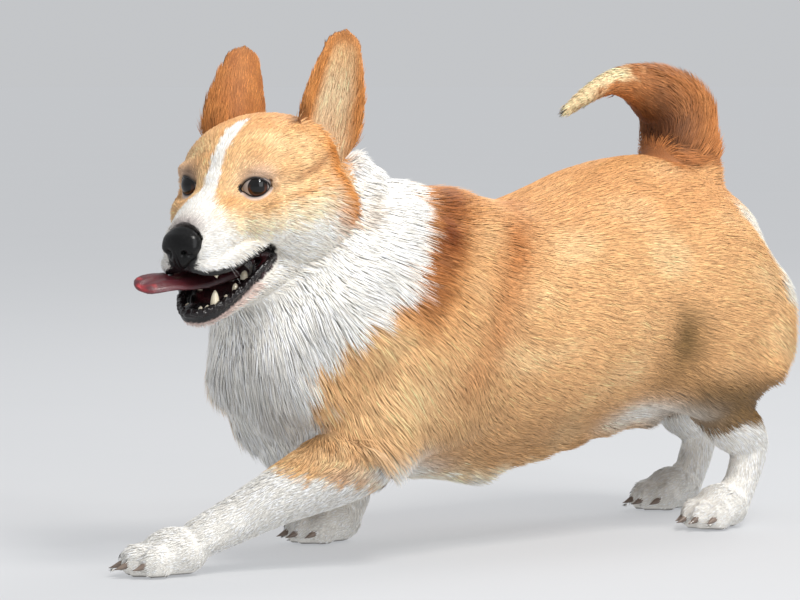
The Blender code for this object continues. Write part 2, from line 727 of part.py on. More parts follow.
def ear(name, shape, group):
    """A pricked ear: a tapering leaf, rolled into a cup towards its foot, with a wall of even thickness."""
    front, back, tip = (Vector(p) for p in shape[:3])
    foot = (front + back) / 2
    up = tip - foot
    wide = (back - front) / 2
    wide = wide - up * wide.dot(up) / up.dot(up)
    facing = wide.cross(up).normalized() * shape[3]
    bm = bmesh.new()
    grid = []
    for j in range(EAR_ROWS):
        s = EAR_ROOT + (1 - EAR_ROOT) * j / (EAR_ROWS - 1)
        risen = max(s, 0)
        half = math.sqrt(1 - risen ** 2.4) * (1 + 0.08 * math.sin(math.pi * min(1, risen * 1.6)))
        half = max(half, 0.1) * (1 + EAR_FOOT_TAPER * min(s, 0))
        cup = EAR_CUP * (1 - risen) ** 0.8 + 0.25
        line = []
        for i in range(EAR_COLUMNS):
            a = 2 * i / (EAR_COLUMNS - 1) - 1
            curl = cup * half * (a * a - 0.5)
            place = foot + up * (s - 0.04 * a * a) + wide * a * half + facing * curl
            line.append(bm.verts.new(head_point(*place) * CM))
        grid.append(line)
    for lower, upper in zip(grid, grid[1:]):
        for i in range(EAR_COLUMNS - 1):
            bm.faces.new((lower[i], lower[i + 1], upper[i + 1], upper[i]))
    shell = add_object(name, mesh_from(name, bm), group)
    wall = shell.modifiers.new("wall", "SOLIDIFY")
    wall.thickness = EAR_THICK * CM
    wall.offset = 0
    applied(shell)
    return turned_out(shell)


def build_tongue(group):
    """The tongue lies out of the mouth to the right, rolled a little on its side."""
    rows = []
    for f, l, t, half, thick in ((-1.5, 0, -6.6, 1.6, 0.5), (1.0, 0, -6.3, 1.65, 0.5),
                                 (3.5, -0.4, -6.5, 1.55, 0.48), (6.0, -1.2, -6.4, 1.4, 0.45),
                                 (8.0, -2.0, -6.4, 1.35, 0.45), (8.9, -2.4, -6.5, 1.0, 0.38),
                                 (9.35, -2.55, -6.55, 0.35, 0.2)):
        rows.append((*head_point(f, l, t), half, thick))
    forward, left, up = head_axes()
    roll = math.radians(TONGUE_ROLL)
    return tube(rows, group, side=tuple(left * math.cos(roll) - up * math.sin(roll)), around=10,
                steps=2, name="tongue")


def part_at_saw(body, saw, front_name, rear_name, group):
    """Parts a body at a thin saw cut into the piece in front of it and the piece behind it."""
    boolean(body, saw, "DIFFERENCE")
    bpy.data.objects.remove(saw, do_unlink=True)
    halves = loose_parts(body)[:2]
    pieces = []
    for faces in halves:
        piece = add_object("half", body.data.copy(), group)
        only_faces(piece, faces)
        pieces.append(piece)
    bpy.data.objects.remove(body, do_unlink=True)
    pieces.sort(key=lambda piece: sum(v.co.x for v in piece.data.vertices) / len(piece.data.vertices))
    pieces[0].name, pieces[1].name = rear_name, front_name
    return pieces[1], pieces[0]


def build():
    clear_scene()
    dog = new_collection("pembroke_welsh_corgi")
    work = new_collection("cutters")
    body = melted(trunk_shapes(work) + neck_shapes(work), "body", dog, BODY_VOXEL, 26, BODY_TRIANGLES)
    skin = surface(body)
    neck, torso = part_at_saw(body, disc(RUFF_CUT, RUFF_WAY, 18, work), "neck", "torso", dog)
    core = [(*row[:3], row[3] * TAIL_CORE, row[4] * TAIL_CORE) for row in TAIL]
    tail = melted([tube(core, work)], "tail", dog, LEG_VOXEL, 3, TAIL_TRIANGLES)
    cut_clear(tail, torso, work)
    limbs = []
    for name, rows in (("leg_fore_left", LEG_FORE_LEFT), ("leg_fore_right", LEG_FORE_RIGHT),
                       ("leg_hind_left", hind_rows(HIND_LEFT_X, 1)),
                       ("leg_hind_right", hind_rows(HIND_RIGHT_X, -1))):
        limb = leg(name, rows, dog, work)
        cut_clear(limb, torso, work)
        limbs.append(limb)
    cut_clear(limbs[0], neck, work)
    head = build_head(dog, work)
    nose = build_nose(dog, work)
    cut_clear(head, nose, work)
    for side, name in ((1, "eye_left"), (-1, "eye_right")):
        ball(eye_centre(side), (EYE_RADIUS,) * 3, dog, gaze(side), name, 12, 8)
    jaw = build_jaw(dog, work)
    cut_clear(jaw, head, work)
    cut_clear(neck, head, work)
    cut_clear(neck, jaw, work)
    ears = []
    for name, shape in (("ear_left", EAR_LEFT), ("ear_right", EAR_RIGHT)):
        lobe = ear(name, shape, dog)
        cut_clear(lobe, head, work)
        cut_clear(lobe, neck, work)
        ears.append(lobe)
    tongue = build_tongue(dog)
    cut_clear(tongue, head, work)
    cut_clear(tongue, jaw, work)
    chance = random.Random(LOCK_SEED)
    for node, under, neighbours, grow in (
            (neck, skin, [torso, head, jaw, tongue, *ears, *limbs], grow_ruff),
            (torso, skin, [neck, tail, *limbs], grow_body), (tail, surface(tail), [torso], grow_plume)):
        coat = Coat(node, under, neighbours, work, chance)
        grow(coat)
        coat.fuse()
    return settle(dog)


shift = build()
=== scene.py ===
# A Pembroke Welsh Corgi at a run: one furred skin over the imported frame, with eyes, nose, mouth and claws.
import math

import bpy
import numpy as np
from mathutils import Matrix, Vector
from mathutils.bvhtree import BVHTree
from mathutils.kdtree import KDTree


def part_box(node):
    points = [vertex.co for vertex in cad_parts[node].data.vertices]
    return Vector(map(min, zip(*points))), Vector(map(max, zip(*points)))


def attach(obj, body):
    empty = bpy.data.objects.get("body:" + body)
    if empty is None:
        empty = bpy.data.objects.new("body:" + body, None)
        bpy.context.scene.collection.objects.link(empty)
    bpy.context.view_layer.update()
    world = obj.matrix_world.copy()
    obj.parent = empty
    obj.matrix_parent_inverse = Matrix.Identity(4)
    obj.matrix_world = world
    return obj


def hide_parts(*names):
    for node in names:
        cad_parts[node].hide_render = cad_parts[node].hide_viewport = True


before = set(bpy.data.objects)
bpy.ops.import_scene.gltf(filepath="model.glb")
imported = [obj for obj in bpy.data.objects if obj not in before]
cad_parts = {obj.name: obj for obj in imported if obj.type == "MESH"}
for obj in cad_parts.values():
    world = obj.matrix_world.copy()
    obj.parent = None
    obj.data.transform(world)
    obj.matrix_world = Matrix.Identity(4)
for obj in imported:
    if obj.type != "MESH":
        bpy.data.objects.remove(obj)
bpy.ops.object.select_all(action="DESELECT")
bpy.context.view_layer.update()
# one seeded source of chance, so that every run grows the same coat
chance = np.random.default_rng(5)

# The head's own axes, from the middle between the eyes: f forward, l left and t towards its top
headYaw = math.radians(20)
headPitch = math.radians(8)
headForward = Vector((math.cos(headYaw) * math.cos(headPitch), math.sin(headYaw) * math.cos(headPitch),
                      -math.sin(headPitch)))
headLeft = Vector((-math.sin(headYaw), math.cos(headYaw), 0))
headUp = headForward.cross(headLeft)
headTurn = Matrix((headForward, headLeft, headUp)).transposed()
headAxes = np.array(headTurn)


def middle(node):
    low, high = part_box(node)
    return (low + high) / 2


eyesAt = (middle("eye_left") + middle("eye_right")) / 2
# in metres: how far the head's origin lies before and above the eyes, and from the body's origin
origins = {"beforeEyes": 0.0095, "aboveEyes": 0.001, "fromBody": (0.303, 0.013, 0.294)}
headOrigin = eyesAt + headForward * origins["beforeEyes"] + headUp * origins["aboveEyes"]
bodyOrigin = headOrigin - Vector(origins["fromBody"])


# Places are given in centimetres, along the body's axes or the head's
def bodyPlace(x, y, z):
    return bodyOrigin + Vector((x, y, z)) * 0.01


def headPlace(f, l, t):
    return headOrigin + headTurn @ Vector((f, l, t)) * 0.01


def inBody(points):
    return (points - np.array(bodyOrigin)) * 100


def fromBody(p):
    return np.array(bodyOrigin) + p / 100


def inHead(points):
    return (points - np.array(headOrigin)) @ headAxes * 100


def fromHead(h):
    return np.array(headOrigin) + h @ headAxes.T / 100


# The right side mirrors the left
def onLeft(p):
    return np.column_stack((p[:, 0], np.abs(p[:, 1]), p[:, 2]))


def unit(rows):
    return rows / (np.linalg.norm(rows, axis=-1, keepdims=True) + 1e-9)


# Camera, floor and lights
def aimed(kind, place, target, **settings):
    data = getattr(bpy.data, kind).new(kind, **({"type": "AREA"} if kind == "lights" else {}))
    for name, value in settings.items():
        setattr(data, name, value)
    thing = bpy.data.objects.new(kind, data)
    bpy.context.collection.objects.link(thing)
    thing.location = place
    thing.rotation_euler = (Vector(target) - Vector(place)).to_track_quat("-Z", "Y").to_euler()
    return thing


studio = {"cameraAt": (2.0733, 2.3954, 0.387), "cameraWay": (-0.643, -0.766),
          "cameraDip": math.radians(3.446), "lens": 177.12, "sensor": 36, "farthest": 200,
          "air": (0.95, 0.97, 1.0), "airStrength": 0.58, "floorRadius": 60, "floorGlow": 0.72,
          "lamps": {"key": ((0.1, 1.7, 2.9), (0, 0, 0.2), 59, 0.9, (1.0, 0.97, 0.93)),
                    "fill": ((0.3, 3.1, 1.1), (0, 0, 0.2), 29, 2.0, (0.95, 0.97, 1.0)),
                    "eyeGlint": ((0.385, 1.52, 1.62), (0.25, 0.03, 0.29), 9, 0.26, (1, 1, 1)),
                    "rim": ((-2.2, -0.6, 2.4), (0, 0, 0.25), 26, 1.2, (1, 1, 1))}}
cameraAt = Vector(studio["cameraAt"])
level = math.cos(studio["cameraDip"])
cameraWay = Vector((*(share * level for share in studio["cameraWay"]), -math.sin(studio["cameraDip"])))
bpy.context.scene.camera = aimed("cameras", cameraAt, cameraAt + cameraWay, lens=studio["lens"],
                                 sensor_width=studio["sensor"], clip_end=studio["farthest"])
for place, target, energy, size, tint in studio["lamps"].values():
    aimed("lights", place, target, energy=energy, size=size, color=tint)
world = bpy.context.scene.world or bpy.data.worlds.new("studio")
bpy.context.scene.world = world
world.use_nodes = True
world.node_tree.nodes["Background"].inputs["Color"].default_value = (*studio["air"], 1)
world.node_tree.nodes["Background"].inputs["Strength"].default_value = studio["airStrength"]
bpy.context.scene.view_settings.view_transform = "Standard"
bpy.ops.mesh.primitive_circle_add(vertices=96, radius=studio["floorRadius"], fill_type="TRIFAN")
floor = bpy.context.object
floor.name = "studioFloor"


# Shader maths on sockets
class Link:
    def __init__(self, tree, socket=None):
        self.tree = tree
        self.socket = socket

    def node(self, kind, settings=None, output=0, sockets=None, **inputs):
        made = self.tree.nodes.new(kind)
        for name, value in (settings or {}).items():
            setattr(made, name, value)
        for key, value in (sockets or {}).items():
            self.feed(made.inputs[key], value)
        for name, value in inputs.items():
            self.feed(made.inputs[name.replace("_", " ")], value)
        return Link(self.tree, made.outputs[output])

    def feed(self, place, value):
        if isinstance(value, Link):
            self.tree.links.new(value.socket, place)
        else:
            place.default_value = value

    def combine(self, operation, first, second):
        return self.node("ShaderNodeMath", {"operation": operation}, 0, {0: first, 1: second})

    def __sub__(self, other):
        return self.combine("SUBTRACT", self, other)

    def __rsub__(self, other):
        return self.combine("SUBTRACT", other, self)

    def __mul__(self, other):
        return self.combine("MULTIPLY", self, other)

    def __rmul__(self, other):
        return self.combine("MULTIPLY", other, self)


def linear(colour):
    rgb = np.asarray(colour, float) / 255
    return np.where(rgb <= 0.04045, rgb / 12.92, ((rgb + 0.055) / 1.055) ** 2.4)


def material(name, colour, roughness, **constants):
    made = bpy.data.materials.new(name)
    made.use_nodes = True
    shader = made.node_tree.nodes["Principled BSDF"]
    shader.inputs["Base Color"].default_value = (*linear(colour), 1)
    shader.inputs["Roughness"].default_value = roughness
    for key, value in constants.items():
        shader.inputs[key.replace("_", " ")].default_value = value
    return made


def start(made):
    tree = made.node_tree
    return Link(tree).node("ShaderNodeTexCoord", output="Object"), tree.nodes["Principled BSDF"].inputs


def mixed(link, share, first, second):
    ends = [end if isinstance(end, Link) else (*linear(end), 1) for end in (first, second)]
    return link.node("ShaderNodeMix", {"data_type": "RGBA"}, 2, {0: share, 6: ends[0], 7: ends[1]})


def bumped(place, inputs, height, strength, distance):
    bump = place.node("ShaderNodeBump", Height=height, Strength=strength, Distance=distance)
    place.feed(inputs["Normal"], bump)


def toned(name, base, roughness, tones, scale, detail=2.0, bump=None, **constants):
    made = material(name, base, roughness, **constants)
    place, inputs = start(made)
    tone = place.node("ShaderNodeTexNoise", Vector=place, Scale=scale, Detail=detail)
    place.feed(inputs["Base Color"], mixed(place, tone, *tones))
    if bump:
        bumped(place, inputs, tone, *bump)
    return made


# The coat, the skin and the tongue wear the colours that their points carry
def painted(name, roughness, **constants):
    made = material(name, (200, 150, 100), roughness, **constants)
    place, inputs = start(made)
    colour = place.node("ShaderNodeAttribute", {"attribute_name": "coatColour"})
    place.feed(inputs["Base Color"], colour)
    return made, place, inputs, colour.socket.node


def skinMaterial(name):
    made, place, inputs, attribute = painted(name, 0.6)
    wet = Link(place.tree, attribute.outputs["Alpha"])
    place.feed(inputs["Roughness"], 0.72 - wet * 0.5)
    grain = place.node("ShaderNodeTexNoise", Vector=place, Scale=900.0, Detail=3.0)
    bumped(place, inputs, grain * (1.0 - wet * 0.6), 0.5, 0.0012)
    return made


def tongueMaterial():
    made, place, inputs, attribute = painted("tongueFlesh", 0.35, Coat_Weight=0.3, Coat_Roughness=0.2,
                                             Subsurface_Weight=0.15, Subsurface_Scale=0.004)
    grain = place.node("ShaderNodeTexNoise", Vector=place, Scale=1300.0, Detail=3.0)
    bumped(place, inputs, grain, 0.4, 0.0008)
    return made


floorLook = {"name": "floorPaint", "base": (146, 147, 148), "tones": ((143, 144, 145), (147, 147, 148)),
             "roughness": 0.8, "scale": 3.0, "detail": 4.0, "Specular_IOR_Level": 0.0,
             "Emission_Strength": studio["airStrength"] * studio["floorGlow"],
             "Emission_Color": (*studio["air"], 1)}
floor.data.materials.append(toned(**floorLook))
print("stage and materials")


# Work on single pieces
def activate(piece):
    bpy.ops.object.select_all(action="DESELECT")
    piece.select_set(True)
    bpy.context.view_layer.objects.active = piece


def shaped(piece, kind, **settings):
    activate(piece)
    modifier = piece.modifiers.new(kind.lower(), kind)
    for name, value in settings.items():
        setattr(modifier, name, value)
    bpy.ops.object.modifier_apply(modifier=modifier.name)
    return piece


def inEdit(piece, operator, **settings):
    activate(piece)
    bpy.ops.object.mode_set(mode="EDIT")
    bpy.ops.mesh.select_all(action="SELECT")
    operator(**settings)
    bpy.ops.object.mode_set(mode="OBJECT")
    return piece


def placed(name, mesh):
    piece = bpy.data.objects.new(name, mesh)
    bpy.context.collection.objects.link(piece)
    return piece


def copied(node):
    piece = placed(node + "Copy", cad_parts[node].data.copy())
    return inEdit(piece, bpy.ops.mesh.remove_doubles, threshold=0.00002)


def joinedAs(name, things):
    bpy.ops.object.select_all(action="DESELECT")
    for thing in things:
        thing.select_set(True)
    bpy.context.view_layer.objects.active = things[0]
    bpy.ops.object.join()
    things[0].name = name
    things[0].data.name = name
    return things[0]


def orb(place, radius, segments=16, rings=10):
    bpy.ops.mesh.primitive_uv_sphere_add(segments=segments, ring_count=rings, radius=radius, location=place)
    piece = bpy.context.object
    bpy.ops.object.transform_apply(location=True, rotation=True, scale=True)
    return piece


def vectors(rows, key):
    co = np.empty(len(rows) * 3, np.float32)
    rows.foreach_get(key, co)
    return co.reshape(-1, 3).astype(float)


def points(piece):
    return vectors(piece.data.vertices, "co")


def normals(piece):
    return vectors(piece.data.vertex_normals, "vector")


def setPoints(piece, co):
    piece.data.vertices.foreach_set("co", np.asarray(co, np.float32).ravel())
    piece.data.update()


def smooth(piece):
    activate(piece)
    bpy.ops.object.shade_smooth()


def paint(piece, colour, wet):
    layer = piece.data.color_attributes.new("coatColour", "FLOAT_COLOR", "POINT")
    layer.data.foreach_set("color", np.column_stack((colour, wet)).astype(np.float32).ravel())


def spread(rows, steps):
    rows = np.asarray(rows, float)
    padded = np.vstack([2 * rows[0] - rows[1], rows, 2 * rows[-1] - rows[-2]])
    out = []
    for i in range(1, len(padded) - 2):
        a, b, c, d = padded[i - 1:i + 3]
        for k in range(steps):
            s = k / steps
            out.append(0.5 * (2 * b + (c - a) * s + (2 * a - 5 * b + 4 * c - d) * s * s
                              + (3 * b - a - 3 * c + d) * s ** 3))
    out.append(rows[-1])
    return np.array(out)


def cord(name, line, radii, resolution=2):
    bpy.ops.curve.primitive_nurbs_path_add()
    piece = bpy.context.object
    piece.location = (0, 0, 0)
    piece.name = name
    data = piece.data
    data.splines.clear()
    run = data.splines.new("POLY")
    run.points.add(len(line) - 1)
    for point, place, radius in zip(run.points, line, radii):
        point.co = (*place, 1)
        point.radius = radius
    data.bevel_depth = 1
    data.bevel_resolution = resolution
    data.use_fill_caps = True
    bpy.ops.object.convert(target="MESH")
    bpy.ops.object.shade_smooth()
    return piece


def smoothed(share):
    share = np.clip(share, 0, 1)
    return share * share * (3 - 2 * share)


def step(value, low, high):
    return smoothed((value - low) / (high - low))


# Soft uneven waves through space, for ragged edges and blotches
waveLook = {"seed": 3, "count": 14, "slowest": 0.6, "fastest": 1.7, "calm": 5.2}
waves = np.random.default_rng(waveLook["seed"])
waveWays = unit(waves.normal(size=(waveLook["count"], 3)))
wavePhases = waves.uniform(0, 2 * math.pi, waveLook["count"])
waveRates = waves.uniform(waveLook["slowest"], waveLook["fastest"], waveLook["count"])


def ripple(p, size):
    total = np.zeros(len(p))
    for way, phase, rate in zip(waveWays, wavePhases, waveRates):
        total += np.sin(p @ way * (2 * math.pi * rate / size) + phase)
    return total / waveLook["calm"]


def nearestOn(co, line):
    line = np.asarray(line, float)
    best = np.full(len(co), 1e9)
    share = np.zeros(len(co))
    for i, (a, b) in enumerate(zip(line, line[1:])):
        along = b - a
        s = np.clip((co - a) @ along / (along @ along), 0, 1)
        off = np.linalg.norm(co - a - s[:, None] * along, axis=1)
        closer = off < best
        best = np.where(closer, off, best)
        share = np.where(closer, i + s, share)
    return best, share


def mirroredLine(line):
    return [(f, -l, t) for f, l, t in reversed(line[1:])] + list(line)


# The mouth's edges on the left side, the tail's line and the limbs' lines, as in the solids
upperLip = ((5.75, 0, -5.35), (5.35, 1.75, -5.75), (4.3, 2.5, -5.75), (2.9, 2.8, -5.6), (1.6, 3.1, -5.25),
            (0.5, 3.6, -4.75), (-0.6, 3.55, -4.75), (-1.6, 3.3, -5.2))
lowerLip = ((5.25, 0, -8.95), (4.7, 1.25, -8.75), (3.4, 2.1, -8.2), (1.5, 2.85, -7.2), (0, 3.4, -6.2),
            (-1.5, 3.35, -5.7))
tailLine = ((-18.8, 0, 27.5, 3.2), (-19.4, 0, 31.2, 3.3), (-19.4, 0, 33.8, 3.3), (-17.8, 0, 35.6, 2.9),
            (-15.0, 0, 36.8, 2.1), (-12.0, 0, 37.1, 1.3), (-9.4, 0, 36.3, 0.9), (-7.0, 0, 35.0, 0.4))
limbLines = {
    "leg_fore_left": ((13.5, 4.6, 13.0), (18.5, 5.8, 10.2), (22.3, 6.0, 7.9), (26.6, 4.6, 5.9),
                      (30.4, 3.1, 3.9), (33.4, 2.3, 2.2), (38.0, 0.8, 0.8)),
    "leg_fore_right": ((13.0, -5.4, 14.0), (11.5, -7.2, 9.8), (11.0, -7.0, 6.4), (10.9, -6.8, 3.8),
                       (11.8, -6.8, 2.0), (16.0, -7.0, 0.8)),
    "leg_hind_left": ((-16.1, 4.1, 14.5), (-17.8, 5.7, 10.9), (-20.0, 6.3, 8.4), (-21.6, 6.3, 6.7),
                      (-21.0, 6.3, 4.2), (-19.6, 6.3, 2.0), (-15.2, 6.6, 0.8)),
}
limbLines["leg_hind_right"] = [(x - 6.6, -y, z) for x, y, z in limbLines["leg_hind_left"]]
limbs = list(limbLines)
upperTeeth = ((4.9, 0.35, -4.9, 0.65, 0.2), (4.75, 1.0, -4.9, 0.7, 0.22), (4.1, 1.65, -4.9, 1.5, 0.32),
              (2.6, 2.15, -4.8, 0.6, 0.3), (1.5, 2.4, -4.8, 0.8, 0.38), (0.2, 2.6, -4.7, 1.1, 0.55))
lowerTeeth = ((4.55, 0.3, -8.9, 0.75, 0.17), (4.4, 0.8, -8.85, 0.8, 0.18), (3.95, 1.3, -8.85, 1.5, 0.3),
              (2.6, 1.75, -8.2, 0.7, 0.3), (1.5, 2.1, -7.6, 0.85, 0.36), (0.3, 2.45, -6.9, 1.0, 0.5))
eyeSize = 1.2
eyeOpening = {"half": (1.04, 0.67), "slopeOut": 1.9, "behind": 1.04}
eyePlaces = {side: (-1.05, side * 2.72, -0.14) for side in (1, -1)}
ears = {"ear_left": {"front": (-7.3, 2.7, 3.4), "back": (-10.6, 5.8, 1.8), "tip": (-9.9, 6.2, 10.9),
                     "shift": 0.15},
        "ear_right": {"front": (-7.4, -5.9, 2.0), "back": (-11.7, -2.9, 2.6), "tip": (-12, -3.9, 9.3),
                      "shift": -0.45}}


def outward(side):
    return Matrix.Rotation(math.radians(24) * side, 3, "Z")


def earFrame(name, h):
    front, back, tip = (np.array(ears[name][key]) for key in ("front", "back", "tip"))
    foot = (front + back) / 2
    up = tip - foot
    return foot, up, (h - foot) @ up / (up @ up)


# One skin for all the flesh: a core without the solids' locks, melted with the head, ears, limbs and tail
skinSizes = {"coreVoxel": 0.0065, "coreRelax": 24, "coreDepth": 0.006, "voxel": 0.0019, "relax": 3,
             "jointRelax": 60, "mostTriangles": 188000, "lipOrb": 0.0058, "lipOrbInFront": 0.005,
             "lipOrbRise": 0.62}
tailCore = (0.95, 0.93, 0.88, 0.8, 0.62, 0.5, 0.42, 0.45)
limbOrbs = {"leg_fore_left": (3.3, 3.5, 2.9), "leg_fore_right": (3.3, 3.4, 2.2),
            "leg_hind_left": (2.5, 2.55, 2.15), "leg_hind_right": (2.5, 2.55, 2.15)}
otherOrbs = ((-20.0, 0, 28.8, 3.3), (-19.9, 0, 30.6, 3.1), (17.4, 1.7, 30.5, 1.2), (16.4, 2.0, 29.6, 1.3),
             (17.0, 2.2, 28.5, 1.6))
breechOrb = (-26.6, 3.6, 17.5, 1.3)
joints = ((-19.9, 0, 29.6, 6.0), (17.2, 1.8, 29.8, 3.6), (16.5, 6.0, 11.6, 6.5), (12.4, -7.0, 11.0, 5.5),
          (-17.4, 6.0, 11.0, 4.6), (-24.0, -6.0, 11.0, 4.6))


def withoutTeeth(piece, teeth, way):
    co = points(piece)
    head = inHead(co)
    for f, l, t, length, radius in teeth:
        for side in (1, -1):
            off = np.hypot(head[:, 0] - f, head[:, 1] - side * l * 1.01)
            rise = (head[:, 2] - t) * way
            inside = (off < radius * 1.05 + 0.02) & (rise > 0.02) & (rise < length + 0.1)
            head[inside, 2] = t - way * 0.05
    setPoints(piece, fromHead(head))
    return piece


def thinned(piece, line):
    p = inBody(points(piece))
    line = np.array(line)
    share = nearestOn(p, line)[1]
    at = np.column_stack([np.interp(share, range(len(line)), line[:, k]) for k in range(3)])
    keep = 0.3 + 0.7 * step(share, 0.9, 1.4)
    setPoints(piece, fromBody(at + (p - at) * keep[:, None]))
    return piece


def orbs(rows):
    return [orb(bodyPlace(x, y, z), half * 0.01) for x, y, z, half in rows]


def limbPieces():
    pieces = []
    for name, line in limbLines.items():
        rows = [(*place, half) for place, half in zip(line[:3], limbOrbs[name])]
        pieces += [thinned(copied(name), line), *orbs(spread(rows, 3)[:5])]
    return pieces


def buildSkin():
    core = joinedAs("skin", [copied(name) for name in ("torso", "neck", "head", "jaw")] + limbPieces()
                    + orbs([breechOrb]))
    shaped(core, "REMESH", mode="VOXEL", voxel_size=skinSizes["coreVoxel"])
    shaped(core, "SMOOTH", factor=0.5, iterations=skinSizes["coreRelax"])
    shaped(core, "DISPLACE", strength=-skinSizes["coreDepth"], mid_level=0)
    pieces = [core, withoutTeeth(copied("head"), upperTeeth, -1), withoutTeeth(copied("jaw"), lowerTeeth, 1)]
    pieces += [copied(name) for name in ("ear_left", "ear_right")] + limbPieces()
    pieces += orbs(otherOrbs)
    tail = [(x, y, z, half * share) for (x, y, z, half), share in zip(tailLine, tailCore)]
    pieces += orbs(spread(tail, 4))
    pieces += [orb(headPlace(*place), eyeSize * 0.008) for place in eyePlaces.values()]
    pieces += [orb(headPlace(f, l * 0.9, t + skinSizes["lipOrbRise"]),
                   skinSizes["lipOrb" if abs(l) > 1 else "lipOrbInFront"])
               for f, l, t in spread(mirroredLine(upperLip), 2)]
    skin = joinedAs("skin", pieces)
    shaped(skin, "REMESH", mode="VOXEL", voxel_size=skinSizes["voxel"])
    shaped(skin, "SMOOTH", factor=0.5, iterations=skinSizes["relax"])
    # where a limb or the tail meets the trunk, the skin runs on smoothly
    p = inBody(points(skin))
    share = np.zeros(len(p))
    for x, y, z, size in joints:
        share = np.maximum(share, 1 - step(np.linalg.norm(p - (x, y, z), axis=1), size * 0.6, size))
    group = skin.vertex_groups.new(name="joints")
    for level in range(1, 11):
        chosen = np.flatnonzero(np.ceil(share * 10) == level)
        group.add(chosen.tolist(), level / 10, "REPLACE")
    return shaped(skin, "SMOOTH", factor=0.5, iterations=skinSizes["jointRelax"], vertex_group="joints")


skin = buildSkin()
print("skin", len(skin.data.polygons))

# Which part of the dog each place on the skin belongs to
parts = ("torso", "neck", "head", "jaw", "ear_left", "ear_right", "tail", *limbs)
fleshPoints = []
fleshFaces = []
fleshParts = []
for number, name in enumerate(parts):
    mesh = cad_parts[name].data
    base = len(fleshPoints)
    fleshPoints += [v.co.copy() for v in mesh.vertices]
    fleshFaces += [[base + v for v in p.vertices] for p in mesh.polygons]
    fleshParts += [number] * len(mesh.polygons)
fleshTree = BVHTree.FromPolygons(fleshPoints, fleshFaces)
fleshParts = np.array(fleshParts)


def partsOf(co):
    return fleshParts[[fleshTree.find_nearest(Vector(p))[2] for p in co]]


def isPart(part, *names):
    return np.isin(part, [parts.index(name) for name in names])


lipLines = [spread(mirroredLine(line), 3) for line in (upperLip, lowerLip)]


def edges(f, line):
    rows = np.array(sorted(line))
    return np.interp(f, rows[:, 0], rows[:, 1]), np.interp(f, rows[:, 0], rows[:, 2])


def mouthMasks(head, out):
    f, l, t = head.T
    side = np.abs(l)
    upperHalf, upperEdge = edges(f, upperLip)
    lowerHalf, lowerEdge = edges(f, lowerLip)
    between = (t <= upperEdge + 0.05) & (t >= lowerEdge - 0.05) & (side < upperHalf + 0.1)
    inward = -out[:, 1] * np.sign(l)
    above = (t > upperEdge) & (t < -4.2) & (side < upperHalf - 0.3) & ((out[:, 2] < -0.2) | (inward > 0.1))
    below = (t < lowerEdge) & (t > -9.2) & (side < lowerHalf) & ((out[:, 2] > 0.3) | (inward > 0.1))
    throat = (f > -2.6) & (side < 3.3) & (t > -7.0 + 0.25 * np.clip(-f, 0, 3)) & (t < -4.8) & (f < 0.5)
    lowOff, share = nearestOn(head, lipLines[1])
    middleShare = np.abs(share / (len(lipLines[1]) - 1) * 2 - 1)
    band = np.interp(middleShare, (0, 0.3, 0.7, 0.9, 1), (0.85, 0.85, 0.75, 0.6, 0.4))
    lipOff = np.minimum(nearestOn(head, lipLines[0])[0], lowOff)
    lipOff = np.minimum(lipOff, np.clip(lowOff - band + 0.42, 0, None) + (t > lowerEdge + 0.3) * 9)
    return lipOff, ((between | above | below) & (f > -0.7) & (f < 5.7)) | throat


# Colours, as they look in daylight; a few stand in for painted shade on the coat and the tongue, and one for
# the painted sunlit tip of the tongue
hues = {"white": (242, 238, 230), "cream": (240, 220, 186), "straw": (246, 214, 166), "tan": (226, 175, 122),
        "gold": (242, 203, 153), "orange": (208, 138, 76), "deep": (112, 50, 10), "ember": (180, 108, 52),
        "red": (176, 110, 60), "rust": (204, 138, 84), "amber": (206, 132, 60), "shadowBrown": (104, 80, 42),
        "brown": (86, 48, 22), "shade": (142, 106, 64), "mauve": (150, 136, 134), "dark": (46, 34, 30),
        "mauvePale": (222, 206, 198), "black": (16, 13, 14), "pink": (206, 164, 152), "gum": (92, 40, 44),
        "pad": (62, 54, 54), "tongue": (92, 40, 48), "sunlitTongueTip": (196, 44, 48)}
hue = {name: linear(value) for name, value in hues.items()}


def filled(name, p):
    return np.tile(hue[name], (len(p), 1))


def over(colour, share, name):
    share = np.clip(share, 0, 1)[:, None]
    return colour * (1 - share) + hue[name] * share


def spot(p, place, size):
    off = (p - np.array(place)) / np.array(size)
    return np.exp(-(off ** 2).sum(1))


def dabbed(colour, p, *dabs):
    for place, size, share, name in dabs:
        colour = over(colour, share * spot(p, place, size), name)
    return colour


def drawn(colour, p, *strokes):
    for line, size, share, name in strokes:
        colour = over(colour, share * np.exp(-(nearestOn(p, line)[0] / size) ** 2), name)
    return colour


trunkLines = {
    "shoulderFold": ((2.7, 2.0, 27.7), (4.8, 6.3, 25.8), (8.2, 9.1, 22.3), (9.8, 10.2, 18.5),
                     (12.0, 10.7, 15.3), (15.0, 10.4, 12.9)),
    "ruffFold": ((9.4, 2.2, 28.8), (11.8, 5.4, 27.3), (14.2, 7.8, 25.3), (16.1, 8.8, 23.4),
                 (17.6, 9.6, 21.8)),
    "thighCrease": ((-11.1, 9.8, 17.2), (-11.0, 9.5, 15.2), (-9.8, 8.2, 12.4)),
    "ruffBand": ((15.0, 0.7, 30.4), (20.7, 6.4, 25.5), (22.9, 6.7, 23.0), (25.0, 7.3, 21.3),
                 (26.7, 5.7, 19.6)),
}


